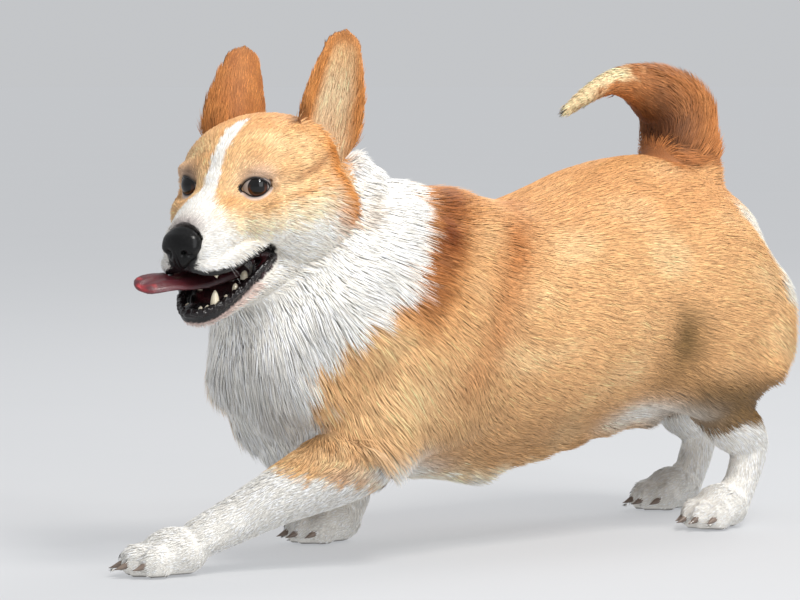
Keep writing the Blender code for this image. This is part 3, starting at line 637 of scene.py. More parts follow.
def bodyMarks(p):
    mirrored = onLeft(p)
    x, side, z = mirrored.T
    ragged = ripple(p, 2.2) * 0.4 + ripple(p, 0.7) * 0.2
    colour = over(filled("tan", p), 0.55 * step(ripple(p * (0.6, 1, 1), 7), 0, 1), "gold")
    colour = over(colour, 0.42 * step(z, 22, 29) * step(-x, -12, 0), "orange")
    # darker folds behind the shoulder and the strip behind the ruff; the crease before the thigh is painted
    # shade
    soft = 0.75 + 0.25 * ripple(p * (0.5, 1, 0.7), 3.5)
    off, share = nearestOn(mirrored, trunkLines["shoulderFold"])
    colour = over(colour, (0.9 - 0.08 * share) * soft * np.exp(-(off / 1.9) ** 2), "ember")
    off, share = nearestOn(mirrored, trunkLines["ruffFold"])
    colour = over(colour, 0.8 * np.exp(-(off / 3.2) ** 2), "amber")
    strength = 0.75 + 0.25 * np.exp(-((share - 1.8) / 1.0) ** 2)
    colour = over(colour, strength * np.exp(-(off / 1.9) ** 2), "deep")
    # painted shade along and in the crease before the thigh; the second dab pales the shoulder
    colour = drawn(colour, mirrored, (trunkLines["thighCrease"], 2.3, 0.7, "shade"))
    colour = dabbed(colour, mirrored, ((-10.8, 9.7, 16.2), (1.4, 3, 2.2), 0.8, "shadowBrown"),
                    ((18.0, 9.0, 13.0), (5, 5, 4), 0.6, "gold"))
    # painted shade: darker towards the bottom of the trunk, and darker still on the lower thigh
    colour = over(colour, 0.35 * step(-z, -14, -8), "shade")
    colour = over(colour, 0.75 * step(-z, -14.5, -10.5) * step(-x, 10.5, 14), "shade")
    colour = over(colour, 0.7 * step(-z, -14.6, -11.2) * step(-x, 10.5, 13.5), "shadowBrown")
    # pale breeches, belly, groin and elbow, and the red foot of the tail
    breech = step(-20.5 - 0.4 * (26.4 - z) - x + 1.2 * ragged, -0.8, 0.8) * step(-z, -28, -26)
    colour = over(over(colour, 0.9 * breech, "cream"), 0.6 * breech, "white")
    colour = over(colour, step(-z + 0.9 * ragged, -7.4, -5.8) * step(-side, -7.5, -4.5), "cream")
    colour = over(colour, step(-z + 0.8 * ragged, -6.6, -5.2) * step(-side, -5.5, -3.5), "white")
    colour = dabbed(colour, mirrored, ((-10.2, 6.8, 9.4), (3.8, 3.4, 1.5), 1.6, "white"),
                    ((15.0, 4.5, 6.2), (3.2, 3.5, 1.4), 1.5, "white"),
                    ((18.2, 8.8, 7.8), (3.0, 2.5, 1.5), 1.5, "white"))
    tailFoot = step(z + 0.3 * ragged, 29.5, 30.4) * step(-x, 14.0, 15.0) * step(-side, -5, -3.5)
    colour = over(colour, 0.9 * tailFoot, "red")
    # the white ruff and bib, with a faint line across
    ruff = 0.69 * x + 0.72 * z - 1.7 + np.where(z < 17, 0.32 * (6 - side), 0) + ragged
    ruff += 1.3 * spot(mirrored, (17.0, 9.5, 21.0), (4, 5, 3))
    bib = step(x + ragged, 19.3, 20.6) * step(-side + ragged, -6.4, -5.2) * step(-z, -18, -15)
    colour = over(colour, np.maximum(step(ruff, 27.3, 28.0), bib), "white")
    band = nearestOn(mirrored, trunkLines["ruffBand"])[0]
    return over(colour, 0.5 * np.exp(-((band + 0.5 * ragged) / 0.7) ** 2) * (ruff > 28), "shade")


def legMarks(p, part):
    x, y, z = p.T
    ragged = ripple(p, 1.6) * 0.5 + ripple(p, 0.6) * 0.25
    fore = isPart(part, "leg_fore_left", "leg_fore_right")
    line = np.where(isPart(part, "leg_fore_left"), 6 + (x - 20.1) * 0.213, np.where(fore, 7.4, 9.0))
    golden = over(filled("tan", p), 0.3 + ragged, "gold")
    colour = np.where((fore & (x < 27.5))[:, None], golden, bodyMarks(p))
    colour = dabbed(colour, p, ((24.4, 5.5, 10.0), (2.2, 3.4, 1.0), 0.45, "shade"),
                    ((23.5, 8.5, 7.4), (1.6, 2.5, 0.9), 0.35, "mauve"))
    colour = over(colour, step(line - z + ragged, -0.5, 0.5), "white")
    colour = dabbed(colour, p, ((18.2, 8.8, 7.6), (2.8, 2.5, 1.4), 1.5, "white"))
    return over(colour, step(-z, -0.35, -0.12), "pad")


def tailMarks(p):
    ragged = ripple(p, 1.6) * 0.6
    colour = over(filled("red", p), 0.4 + 0.5 * ragged, "rust")
    share = nearestOn(p, [row[:3] for row in tailLine])[1]
    colour = dabbed(colour, p, ((-16.6, 1.0, 32.6), (2.3, 4.5, 3.9), 0.98, "brown"))
    rise = p[:, 2] - np.interp(share, range(len(tailLine)), [row[2] for row in tailLine])
    colour = over(colour, step(share + 0.4 * ragged, 4.0, 4.8) * step(rise + 0.2 * ragged, 0.0, 0.5), "straw")
    return over(colour, step(share + 0.3 * ragged, 5.4, 6.2), "straw")


def earMarks(p, part, out):
    colour = over(filled("red", p), 0.5 + 0.4 * ripple(p, 2.0), "orange")
    for name, ear in ears.items():
        foot, up, rise = earFrame(name, p)
        wide = (np.array(ear["back"]) - ear["front"]) / 2
        wide = wide - up * (wide @ up) / (up @ up)
        facing = unit(np.cross(wide, up) * np.sign(foot[1]))
        across = (p - foot) @ wide / (wide @ wide)
        cup = step(out @ facing, -0.1, 0.35)[:, None]
        edge = np.sqrt(np.clip(1 - np.clip(rise, 0, 1) ** 2.4, 0.01, 1))
        middleShare = 1 - step(np.abs(across - 0.12) / edge, 0.3, 0.8)
        inner = over(filled("orange", p), 0.65 * middleShare * step(-rise, -0.92, -0.7), "gold")
        inner = over(inner, 0.45 * middleShare * step(-rise, -0.75, -0.3), "cream")
        inner = over(inner, 0.8 * step(-rise, -0.3, -0.05) * step(-across / edge, 0.55, 0.85), "brown")
        whole = over(colour * (1 - cup) + inner * cup, 0.4 * step(rise, 0.85, 1.0), "brown")
        colour = np.where(isPart(part, name)[:, None], whole, colour)
    return colour


eyeHollow = (-0.1, 3.16, -0.14)
throatLine = ((-0.7, 1.3, -11.8), (-0.9, 3.4, -11.3), (-1.5, 5.4, -10.5))
cheekStrip = ((-8.0, 5.4, 2.0), (-7.2, 6.3, -1.2), (-6.8, 6.7, -2.8))
headCreases = ((((0.3, 4.2, -0.5), (-2.5, 5.0, 0.1), (-5, 5.6, 0.8), (-7.6, 5.5, 1.9)), 0.3, 0.5, "deep"),
               (((-0.4, 4.5, -1.2), (-3, 5.4, -0.9), (-6, 6.2, -0.6)), 0.22, 0.5, "orange"),
               (((1.5, 2.1, -0.6), (2.2, 1.9, -1.3), (2.7, 2.0, -2.5)), 0.4, 0.5, "orange"),
               (((-7.2, 2.7, 3.3), (-6.0, 2.7, 3.8)), 0.35, 0.75, "brown"))


def headMarks(p, out):
    mirrored = onLeft(p)
    f, side, t = mirrored.T
    ragged = ripple(p, 1.2) * 0.16 + ripple(p, 0.4) * 0.1
    colour = over(filled("tan", p), 0.35 + 0.35 * ripple(p, 3), "gold")
    colour = over(colour, 0.45 * step(t, 2.4, 4.2), "orange")
    colour = over(colour, 0.6 * step(-f, 8, 10), "orange")
    # pale cheeks, muzzle and blaze
    cheekTop = np.interp(f, (-12, -9, -6, -2, 0, 1.6, 3.0), (-2.5, 0.4, -0.4, -1.5, -1.9, -2.0, -1.0))
    colour = over(colour, 0.9 * step(cheekTop - t + ragged * 2.4, -0.5, 0.9), "cream")
    colour = over(colour, 0.85 * step(cheekTop - t + ragged * 2.4, 0.8, 2.6), "white")
    colour = over(colour, step(f + 0.9 * ragged + 0.6 * (side < 1.4), 2.5, 4.3), "white")
    blaze = np.interp(f, (-4.6, -4.0, -2.4, 0.0, 1.2, 2.2, 3.6), (-0.2, 0.25, 0.55, 0.5, 0.58, 0.85, 1.6))
    onBlaze = step(blaze - np.abs(p[:, 1] + 0.12) + 0.7 * ragged, -0.12, 0.16)
    colour = over(colour, onBlaze * (t > -3.2), "white")
    # the orange strip at the back of the cheek
    strip = nearestOn(mirrored, cheekStrip)[0]
    colour = over(colour, 0.98 * np.exp(-((strip + ragged) / 1.6) ** 2), "amber")
    colour = dabbed(colour, mirrored, ((-7.9, 5.3, 1.2), (0.6, 0.9, 0.6), 0.5, "ember"))
    colour = over(colour, step(-f + 2 * ragged, 10.6, 11.4) * step(side, 1.5, 3), "white")
    # creases from the eye to the ear's foot, and the fur round the eye
    colour = drawn(colour, mirrored, *headCreases)
    # painted shadow below each eye
    colour = dabbed(colour, mirrored, ((0.3, 4.25, -1.5), (0.8, 0.7, 0.5), 0.5, "shade"))
    socket = (0.1, 3.5, -0.05)
    around = spot(mirrored, socket, (1.2, 1.35, 1.35)) - spot(mirrored, socket, (0.7, 0.7, 0.7))
    colour = over(colour, 0.96 * np.clip(around, 0, 1) * step(t, -0.9, 0.6), "mauvePale")
    colour = dabbed(colour, mirrored, ((1.0, 2.1, -0.3), (0.35, 0.35, 0.3), 0.5, "mauve"),
                    ((0.5, 2.0, 1.0), (0.4, 0.3, 0.35), 0.5, "shade"))
    # painted shade round the far eye, on the dog's right side
    colour = dabbed(colour, p, ((0.3, -2.8, 0.8), (0.85, 0.6, 0.95), 0.9, "dark"))
    colour = dabbed(colour, mirrored, ((5.3, 0, -2.45), (0.7, 1.0, 0.4), 0.55, "dark"),
                    ((5.0, 0, -2.2), (1.2, 1.6, 0.8), 0.85, "mauve"))
    leather = np.linalg.norm((mirrored - (5.75, 0, -4.0)) / (1.2, 1.4, 1.85), axis=1)
    colour = over(colour, step(-leather, -1.06, -0.96), "black")
    colour = over(colour, step(-np.linalg.norm(mirrored - eyeHollow, axis=1), -0.95, -0.8), "dark")
    # chin, throat and the inside of the mouth
    lipOff, inside = mouthMasks(p, out)
    colour = over(colour, 0.7 * step(-lipOff, -0.85, -0.45) * (t < -6.6), "pink")
    # painted shadow under the jaw, across the throat
    colour = drawn(colour, p, (throatLine, 0.6, 0.6, "shade"))
    colour = over(colour, step(-lipOff, -0.42, -0.3), "black")
    mouth = over(filled("gum", p), 0.6 + 0.3 * ripple(p, 1.2) + step(-lipOff, -0.8, -0.3), "black")
    return np.where(inside[:, None], mouth, colour)


def marks(co, part, out):
    p = inBody(co)
    h = inHead(co)
    headOut = out @ headAxes
    colour = bodyMarks(p)
    chosen = isPart(part, *limbs)
    colour[chosen] = legMarks(p[chosen], part[chosen])
    chosen = isPart(part, "tail")
    colour[chosen] = tailMarks(p[chosen])
    chosen = isPart(part, *ears)
    colour[chosen] = earMarks(h[chosen], part[chosen], headOut[chosen])
    chosen = isPart(part, "head", "jaw")
    colour[chosen] = headMarks(h[chosen], headOut[chosen])
    return colour


# Guides: place, the way the fur lies, its length in millimetres, how far it stands off and its width
headGuides = (
    (5.0, 0.6, -2.0, -1, 0.1, 0.25, 3.5, 0.10, 0.7), (2.5, 0.8, -0.6, -1, 0.1, 0.35, 4.5, 0.10, 0.7),
    (0, 0.6, 1.6, -1, 0.15, 0.6, 6, 0.10, 0.8), (-3, 1.5, 3.9, -1, 0.2, 0.25, 8, 0.12, 0.9),
    (-8, 2, 4.4, -1, 0.2, -0.1, 12, 0.15, 1.0), (-12, 1.5, 1.5, -0.8, 0.1, -0.6, 12, 0.15, 0.9),
    (4.5, 2.1, -3.8, -1, 0.25, -0.15, 4.5, 0.12, 0.7), (3, 2.8, -5.2, -0.55, 0.2, -0.8, 6, 0.14, 0.65),
    (0.8, 3.5, -4.4, -0.8, 0.2, -0.6, 7, 0.12, 0.7),
    (1.6, 3.2, -2.6, -1, 0.35, -0.35, 5.5, 0.12, 0.8), (-0.8, 4.6, -1.6, -1, 0.45, -0.2, 7, 0.12, 0.8),
    (-0.2, 3.4, 1.4, -1, 0.4, 0.3, 5, 0.12, 0.7), (-3, 5.8, -3, -0.9, 0.4, -0.45, 12, 0.2, 1.0),
    (-7, 7, -3.5, -0.85, 0.35, -0.6, 24, 0.3, 1.4), (-4.5, 5.2, 1.4, -1, 0.3, 0, 9, 0.12, 0.9),
    (0, 4.3, -8, -0.95, 0.25, -0.35, 9, 0.16, 0.9), (-5, 5, -8.5, -0.85, 0.3, -0.6, 20, 0.28, 1.3),
    (4.5, 0.8, -9.9, -0.9, 0.1, -0.35, 5.5, 0.2, 0.7), (0, 0, -9.9, -0.9, 0, -0.4, 12, 0.2, 1.0),
    (-6, 0, -9.5, -0.7, 0, -0.7, 26, 0.3, 1.5), (-11, 5, 0, -0.8, 0.2, -0.55, 12, 0.18, 0.9),
    (-12.4, 4.6, -0.4, -0.75, 0.2, -0.4, 10, 0.2, 0.85),
)
trunkGuides = (
    (17.5, 1.8, 30, -0.8, 0.1, -0.6, 11, 0.1, 0.9), (17.3, 2.8, 28, -0.8, 0.1, -0.6, 14, 0.1, 0.9),
    (12, 1.5, 29, -0.95, 0.1, -0.1, 24, 0.2, 1.0), (17, 6, 28, -0.85, 0.3, -0.4, 26, 0.12, 1.0),
    (20, 9, 22, -0.75, 0.2, -0.7, 28, 0.13, 1.0), (25, 4, 20, -0.35, 0.25, -0.9, 32, 0.16, 1.1),
    (22, 7, 13, -0.5, 0.1, -0.85, 30, 0.15, 1.1), (25, 0, 13, -0.3, 0, -0.95, 30, 0.15, 1.1),
    (20, 0, 7, -0.9, 0, -0.35, 24, 0.16, 1.0), (7, 2, 29.4, -1, 0.1, -0.05, 22, 0.22, 0.8),
    (-4, 2, 29.6, -1, 0.05, 0, 16, 0.06, 0.75), (-11, 3, 31, -1, 0.05, -0.05, 16, 0.06, 0.75),
    (-17, 3, 31.2, -1, 0.05, -0.25, 17, 0.07, 0.75), (12, 10, 20, -0.75, 0.05, -0.6, 18, 0.08, 0.8),
    (14, 9.8, 13, -0.6, 0, -0.8, 16, 0.08, 0.75), (5, 10, 22, -0.92, 0, -0.32, 17, 0.06, 0.75),
    (0, 10.3, 18, -0.97, 0, -0.24, 17, 0.06, 0.75), (-7, 10, 22, -1, 0, -0.12, 16, 0.06, 0.75),
    (-7, 10, 15, -0.96, 0, -0.24, 17, 0.06, 0.75), (0, 9.5, 9, -0.93, -0.1, -0.3, 20, 0.09, 0.85),
    (4, 6, 5.8, -0.95, -0.2, -0.2, 24, 0.14, 1.0), (2, 0, 5, -1, 0, -0.1, 22, 0.14, 1.0),
    (-10, 4, 8.5, -0.95, 0, -0.25, 20, 0.12, 0.9), (-16.5, 10.6, 19, -0.97, 0, -0.22, 16, 0.06, 0.75),
    (-17, 10, 12, -0.9, 0, -0.4, 15, 0.07, 0.75), (-22, 8, 14, -0.8, 0, -0.55, 16, 0.07, 0.8),
    (-24, 7, 20, -0.8, 0, -0.55, 22, 0.1, 0.85), (-27, 3.5, 19, -0.2, 0, -1, 21, 0.08, 0.85),
    (-26, 5.5, 13, 0.4, 0, -0.9, 15, 0.06, 0.8), (-23, 1, 26.5, -0.75, 0, -0.65, 20, 0.1, 0.85),
    (-27, 0, 16, 0.05, 0, -1, 18, 0.07, 0.85), (-15.5, 0.5, 30.0, -0.9, 0, 0.5, 13, 0.05, 0.75),
    (-19.5, 3.3, 29.8, -0.95, 0, 0.2, 15, 0.06, 0.75), (-23.0, 0.5, 29.6, -0.4, 0, 0.9, 14, 0.05, 0.75),
)


def followGuides(p, guides, mirror):
    guides = np.array(guides)
    side = np.where(p[:, mirror] < 0, -1.0, 1.0)
    q = p.copy()
    q[:, mirror] = np.abs(q[:, mirror])
    off = ((q[:, None, :] - guides[None, :, :3]) ** 2).sum(2)
    weight = 1 / (off + 0.3) ** 2
    weight /= weight.sum(1)[:, None]
    way = weight @ guides[:, 3:6]
    way[:, mirror] *= side
    rest = weight @ guides[:, 6:]
    return way, rest[:, 0], rest[:, 1], rest[:, 2]


def followLine(p, line, whole):
    share = nearestOn(p, line)[1]
    steps = unit(np.diff(np.array(line), axis=0))
    return share, steps[np.clip(whole(share).astype(int), 0, len(steps) - 1)]


def lie(co, part, out):
    p = inBody(co)
    h = inHead(co)
    way, length, lift, width = followGuides(p, trunkGuides, 1)
    trunkWay = way.copy()
    tips = np.zeros(len(p))
    chosen = isPart(part, "head", "jaw")
    headWay, length[chosen], lift[chosen], width[chosen] = followGuides(h[chosen], headGuides, 1)
    way[chosen] = headWay @ headAxes.T
    for name, line in limbLines.items():
        chosen = isPart(part, name)
        height = p[chosen][:, 2]
        share = step(height, 7.5, 10.5)[:, None]
        down = followLine(p[chosen], line, lambda share: np.round(share - 0.5))[1] + (-0.15, 0, 0)
        way[chosen] = down * (1 - share) + trunkWay[chosen] * share
        length[chosen] = np.interp(height, (0.5, 2.5, 6, 10, 14), (4, 6, 8, 13, 18))
        lift[chosen] = 0.12
        width[chosen] = 0.8
    chosen = isPart(part, "tail")
    line = spread([row[:3] for row in tailLine], 4)
    share, down = followLine(p[chosen], line, np.floor)
    along = share / (len(line) - 1)
    fresh = step(along, 0.03, 0.25)[:, None]
    way[chosen] = down * fresh + np.array((-0.9, 0, 0.4)) * (1 - fresh)
    length[chosen] = np.interp(along, (0, 0.3, 0.55, 0.75, 0.88, 0.95, 1), (18, 24, 17, 9, 6.5, 6.5, 10))
    lift[chosen] = np.interp(along, (0, 0.4, 0.7, 1), (0.15, 0.14, 0.05, 0.02))
    width[chosen] = np.interp(along, (0, 0.7, 1), (0.9, 0.8, 0.6))
    tips[chosen] = step(along, 0.86, 0.95)
    for name in ears:
        chosen = isPart(part, name)
        foot, up, rise = earFrame(name, h[chosen])
        # longer hair inside the ear
        inward = step(out[chosen] @ headAxes @ (0.85, 0.5 * np.sign(foot[1]), 0), 0.1, 0.5)
        inward *= step(-rise, -0.85, -0.5)
        way[chosen] = unit(headAxes @ up)
        length[chosen] = np.interp(rise, (0, 0.3, 0.8, 0.95, 1), (11, 6, 4.5, 2.6, 1.8)) + 5 * inward
        lift[chosen] = 0.05 + 0.06 * inward
        width[chosen] = 0.55
        tips[chosen] = 0.5 * step(rise, 0.9, 1.0)
    # hair near the eyes is short, and at the tips of the tail and the ears it runs straight on
    eyeOff = np.linalg.norm(onLeft(h) - eyeHollow, axis=1)
    short = 0.3 + 0.7 * step(eyeOff, 1.0, 2.0)
    way = unit(way - out * ((way * out).sum(1) * (1 - 0.85 * tips))[:, None])
    return way, length * short * 0.001, lift * short, width * 0.001


# The skin lies inside the solids by the depth of its short coat, in metres
def coatDepth(co, part, lipOff):
    x, y, z = inBody(co).T
    h = inHead(co)
    depth = np.where(isPart(part, "torso", "neck", "tail"), 0.0, 0.0014)
    depth -= 0.004 * step(z, 27, 30) * step(x, -20, -14) * step(-x, 1, 7)
    depth -= 0.003 * step(z, 26, 28.5) * step(x, 4, 8) * step(-x, -17, -14)
    depth[isPart(part, *ears)] = 0.0004
    nearEye = np.min([np.linalg.norm(h - place, axis=1) for place in eyePlaces.values()], axis=0)
    thin = step(nearEye, 1.4, 2.6) * step(np.minimum(lipOff, np.abs(h[:, 0] - 6.6)), 0.3, 1.4)
    return np.where(isPart(part, "head", "jaw"), 0.0011 * thin, depth)


def bluntedEars(co, part):
    h = inHead(co)
    moves = np.zeros((len(h), 3))
    for name, ear in ears.items():
        foot, up, rise = earFrame(name, h)
        blunt = np.outer(np.clip(rise - 0.9, 0, None) * -0.35, up)
        fuller = 0.4 * np.exp(-((rise - 0.93) / 0.1) ** 2)
        aside = (h - foot - np.outer(rise, up)) * fuller[:, None]
        leant = np.outer(ear["shift"] * np.clip(rise, 0, 1), (0, 1, 0))
        chosen = isPart(part, name)
        moves[chosen] = (blunt + aside + leant)[chosen]
    return moves @ headAxes.T / 100


# Round each eye the skin slopes down to the ball, and the opening lies behind the ball's surface
def openedEyes(co):
    for side, place in eyePlaces.items():
        turn = np.array(outward(side))
        local = (inHead(co) - place) @ turn
        ring = np.linalg.norm(local[:, 1:] / eyeOpening["half"], axis=1)
        ball = np.sqrt(np.clip(eyeSize ** 2 + 0.1 - (local[:, 1:] ** 2).sum(1), 0.25, None))
        far = step(ring, 1.0, eyeOpening["slopeOut"])
        ahead = local[:, 0] > 0
        slope = ahead & (ring > 0.95) & (far < 1) & (np.linalg.norm(local, axis=1) < 2.6)
        local[slope, 0] = (local[:, 0] * far + np.minimum(local[:, 0], ball) * (1 - far))[slope]
        opening = ahead & (ring < 1) & (np.linalg.norm(local, axis=1) < 2.2)
        local[opening] = unit(local[opening]) * eyeOpening["behind"]
        chosen = slope | opening
        co[chosen] = fromHead(local @ turn.T + place)[chosen]
    return co


skinPoints = points(skin)
skinOut = normals(skin)
skinPart = partsOf(skinPoints)
x, y, z = inBody(skinPoints).T
bellyLift = 0.009 * step(x, -16, -9) * step(-x, -7, 1) * step(-z, -12, -6.5)
lipOff = mouthMasks(inHead(skinPoints), skinOut @ headAxes)[0]
depth = coatDepth(skinPoints, skinPart, lipOff)
skinPoints = skinPoints - skinOut * depth[:, None] + bluntedEars(skinPoints, skinPart)
skinPoints[:, 2] += bellyLift
setPoints(skin, openedEyes(skinPoints))
inEdit(skin, bpy.ops.mesh.quads_convert_to_tris)
if len(skin.data.polygons) > skinSizes["mostTriangles"]:
    shaped(skin, "DECIMATE", ratio=skinSizes["mostTriangles"] / len(skin.data.polygons))
inEdit(skin, bpy.ops.uv.smart_project, angle_limit=1.2, island_margin=0.001)
skin.data.uv_layers[0].name = "OFBake"
smooth(skin)
skinPoints = points(skin)
skinOut = normals(skin)
skinPart = partsOf(skinPoints)
lipOff, inMouth = mouthMasks(inHead(skinPoints), skinOut @ headAxes)
skinColour = marks(skinPoints, skinPart, skinOut)
wet = isPart(skinPart, "head", "jaw") & (inMouth | (lipOff < 0.42))
# painted shade: under the tufts the skin is darkened, as the fur shades it, and pale coats a little less
underFurShade = 0.8 + 0.12 * np.clip(skinColour[:, 2] * 3 - 1.5, 0, 1)
skinColour *= np.where(wet, 1, underFurShade)[:, None]
paint(skin, skinColour, wet)
skin.data.materials.clear()
skin.data.materials.append(skinMaterial("skin"))
print("skin shaped", len(skin.data.polygons))

# The coat: tufts for each square centimetre, and how far apart the locks are that they gather into
growth = {"torso": (41, 0.55), "neck": (52, 0.75), "head": (74, 0.45), "jaw": (60, 0.45), "tail": (58, 0.6),
          **{name: (68, 0.5) for name in ears}, **{name: (40, 0.5) for name in limbs}}
# tones from a tuft's root over its ring to its tip, painted shade that is darkest at the root where the hair
# shades itself and lightest at the ring's top and the tip, and the patch that it takes on the bake map
coatLook = {"tones": (0.76, 0.93, 0.97, 0.93, 1.05), "streak": 0.55, "lockTone": 0.05, "tuftTone": 0.08,
            "girth": 0.46, "patch": 0.003, "mostTufts": 33000, "sunk": 0.0009, "ringAlong": 0.4,
            "ringRise": 0.62}
tuftFaces = np.array([(1, 2, 0), (2, 3, 0), (3, 1, 0), (2, 1, 4), (3, 2, 4), (1, 3, 4)])
coat = painted("coat", 0.55, Specular_IOR_Level=0.3)[0]
triangleCount = len(skin.data.polygons)
triangles = np.empty(triangleCount * 3, np.int32)
skin.data.polygons.foreach_get("vertices", triangles)
triangles = triangles.reshape(-1, 3)
uvs = np.empty(triangleCount * 6, np.float32)
skin.data.uv_layers["OFBake"].data.foreach_get("uv", uvs)
uvs = uvs.reshape(-1, 3, 2)
corners = skinPoints[triangles]
areas = np.linalg.norm(np.cross(corners[:, 1] - corners[:, 0], corners[:, 2] - corners[:, 0]), axis=1) * 5000
trianglePart = skinPart[triangles[:, 0]]


def scatter(numbers, density):
    expected = areas[numbers] * density
    count = np.floor(expected + chance.random(len(numbers))).astype(int)
    chosen = np.repeat(numbers, count)
    a, b = chance.random(len(chosen)), chance.random(len(chosen))
    flip = a + b > 1
    a[flip], b[flip] = 1 - a[flip], 1 - b[flip]
    weight = np.column_stack((1 - a - b, a, b))[:, :, None]
    out = unit((skinOut[triangles[chosen]] * weight).sum(1))
    return (corners[chosen] * weight).sum(1), out, (uvs[chosen] * weight).sum(1)


def isBare(place, out, part):
    h = inHead(place)
    lips, inside = mouthMasks(h, out @ headAxes)
    eye = np.zeros(len(h), bool)
    for side, at in eyePlaces.items():
        e = (h - at) @ np.array(outward(side))
        eye |= (e[:, 0] > 0) & ((e[:, 1] / 1.24) ** 2 + (e[:, 2] / 0.86) ** 2 < 1)
    nose = np.linalg.norm((h - np.array((5.75, 0, -3.78))) / np.array((1.12, 1.55, 1.6)), axis=1) < 1
    bare = isPart(part, "head", "jaw") & (inside | (lips < 0.45) | eye | nose)
    return bare | isPart(part, *limbs) & (inBody(place)[:, 2] < 0.5) & (out[:, 2] < -0.4)


# Locks: each tuft leans towards the tip of the leader nearest its root
def gathered(name, root, half, tip, length):
    density, spacing = growth[name]
    leaders = chance.choice(len(root), max(4, int(len(root) / (density * spacing ** 2))), replace=False)
    tree = KDTree(len(leaders))
    for i, leader in enumerate(leaders):
        tree.insert(root[leader], i)
    tree.balance()
    nearest = leaders[[tree.find(Vector(p))[1] for p in root]]
    hold = np.clip((length * 1000 - 5) / 75, 0.06, 0.3)
    hold[np.linalg.norm(root - root[nearest], axis=1) > spacing * 0.016] = 0
    tip += (tip[nearest] - tip) * hold[:, None]
    half += (half[nearest] - half) * (hold * 0.35)[:, None]
    return nearest


def tuftMesh(name, co):
    count = len(co)
    loops = (tuftFaces[None] + (np.arange(count) * 5)[:, None, None]).reshape(-1)
    mesh = bpy.data.meshes.new(name)
    mesh.vertices.add(count * 5)
    mesh.vertices.foreach_set("co", co.astype(np.float32).ravel())
    mesh.loops.add(len(loops))
    mesh.loops.foreach_set("vertex_index", loops.astype(np.int32))
    mesh.polygons.add(len(loops) // 3)
    mesh.polygons.foreach_set("loop_start", np.arange(0, len(loops), 3, dtype=np.int32))
    mesh.update(calc_edges=True)
    return mesh, loops


def growPiece(name, root, out, uv, way, length, lift, width, colour):
    count = len(root)
    rise = out * (length * lift)[:, None]
    run = way * (length * np.sqrt(1 - lift ** 2))[:, None]
    half = root + run * coatLook["ringAlong"] + rise * coatLook["ringRise"]
    tip = root + run + rise
    nearest = gathered(name, root, half, tip, length)
    across = unit(np.cross(way, out))
    size = width[:, None] * coatLook["girth"]
    ring = [half + across * size * side + out * size * up for side, up in ((1, 0), (0, 0.8), (-1, 0))]
    mesh, loops = tuftMesh(name + "Fur", np.stack([root - out * coatLook["sunk"], *ring, tip], axis=1))
    streak = (chance.random(count) ** 3)[:, None]
    colour = colour * (1 + coatLook["streak"] * streak)
    tone = chance.normal(1, coatLook["lockTone"], count)[nearest]
    tone *= chance.normal(1, coatLook["tuftTone"], count)
    # the painted shade along each tuft, weaker on pale coats
    paleness = 0.6 * np.clip(colour[:, 2] * 3 - 1.5, 0, 1)
    shades = [colour * (tone * (1 - (1 - shade) * (1 - paleness)))[:, None] for shade in coatLook["tones"]]
    patch = (np.array(((0.5, 0), (0, 0.4), (0.5, 0.4), (1, 0.4), (0.5, 1))) - 0.5) * coatLook["patch"]
    coordinates = (np.repeat(uv, 5, axis=0) + np.tile(patch, (count, 1)))[loops]
    layer = mesh.uv_layers.new(name="OFBake")
    layer.data.foreach_set("uv", np.clip(coordinates, 0, 1).astype(np.float32).ravel())
    mesh.materials.append(coat)
    piece = placed(name + "Fur", mesh)
    paint(piece, np.clip(np.stack(shades, axis=1), 0, 0.96).reshape(-1, 3), np.ones(count * 5))
    smooth(piece)
    # the tufts catch the light nearly as the skin below them does, as soft hair lying flat does
    rounding = 0.45 if name in (*ears, "tail") else 0.75
    faces = [out + across * side * rounding + way * ahead
             for side, ahead in ((0, 0), (1, 0), (0, 0), (-1, 0), (0, 0.4))]
    mesh.normals_split_custom_set_from_vertices(unit(np.stack(faces, axis=1)).reshape(-1, 3).tolist())
    return piece


for number, name in enumerate(parts):
    root, out, uv = scatter(np.flatnonzero(trianglePart == number), growth[name][0])
    keep = ~isBare(root, out, np.full(len(root), number))
    root, out, uv = root[keep], out[keep], uv[keep]
    part = np.full(len(root), number)
    way, length, lift, width = lie(root, part, out)
    wander = chance.normal(0, 0.09, len(root)) + 0.16 * ripple(inBody(root), 4)
    way = unit(way + np.cross(way, out) * wander[:, None])
    length *= chance.uniform(0.75, 1.15, len(root))
    lift = np.clip(lift * chance.uniform(0.6, 1.5, len(root)), 0.02, 0.6)
    tufts = (root, out, uv, way, length, lift, width, marks(root, part, out))
    for first in range(0, len(root), coatLook["mostTufts"]):
        cut = slice(first, first + coatLook["mostTufts"])
        piece = growPiece(name, *(values[cut] for values in tufts))
        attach(piece, "root")
    print(name, "tufts", len(root))

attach(skin, "root")
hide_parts(*parts)


# Eyes with a raised cornea: the iris, pupil and white lie by how far each point faces along the gaze
eyeLook = {"gaze": (1, 0.2, 0.02), "iris": ((44, 20, 10), (92, 48, 22)), "lashShade": (12, 8, 6),
           "pupil": (5, 4, 4), "ring": (18, 10, 7), "white": (178, 166, 160), "cornea": 0.0006}


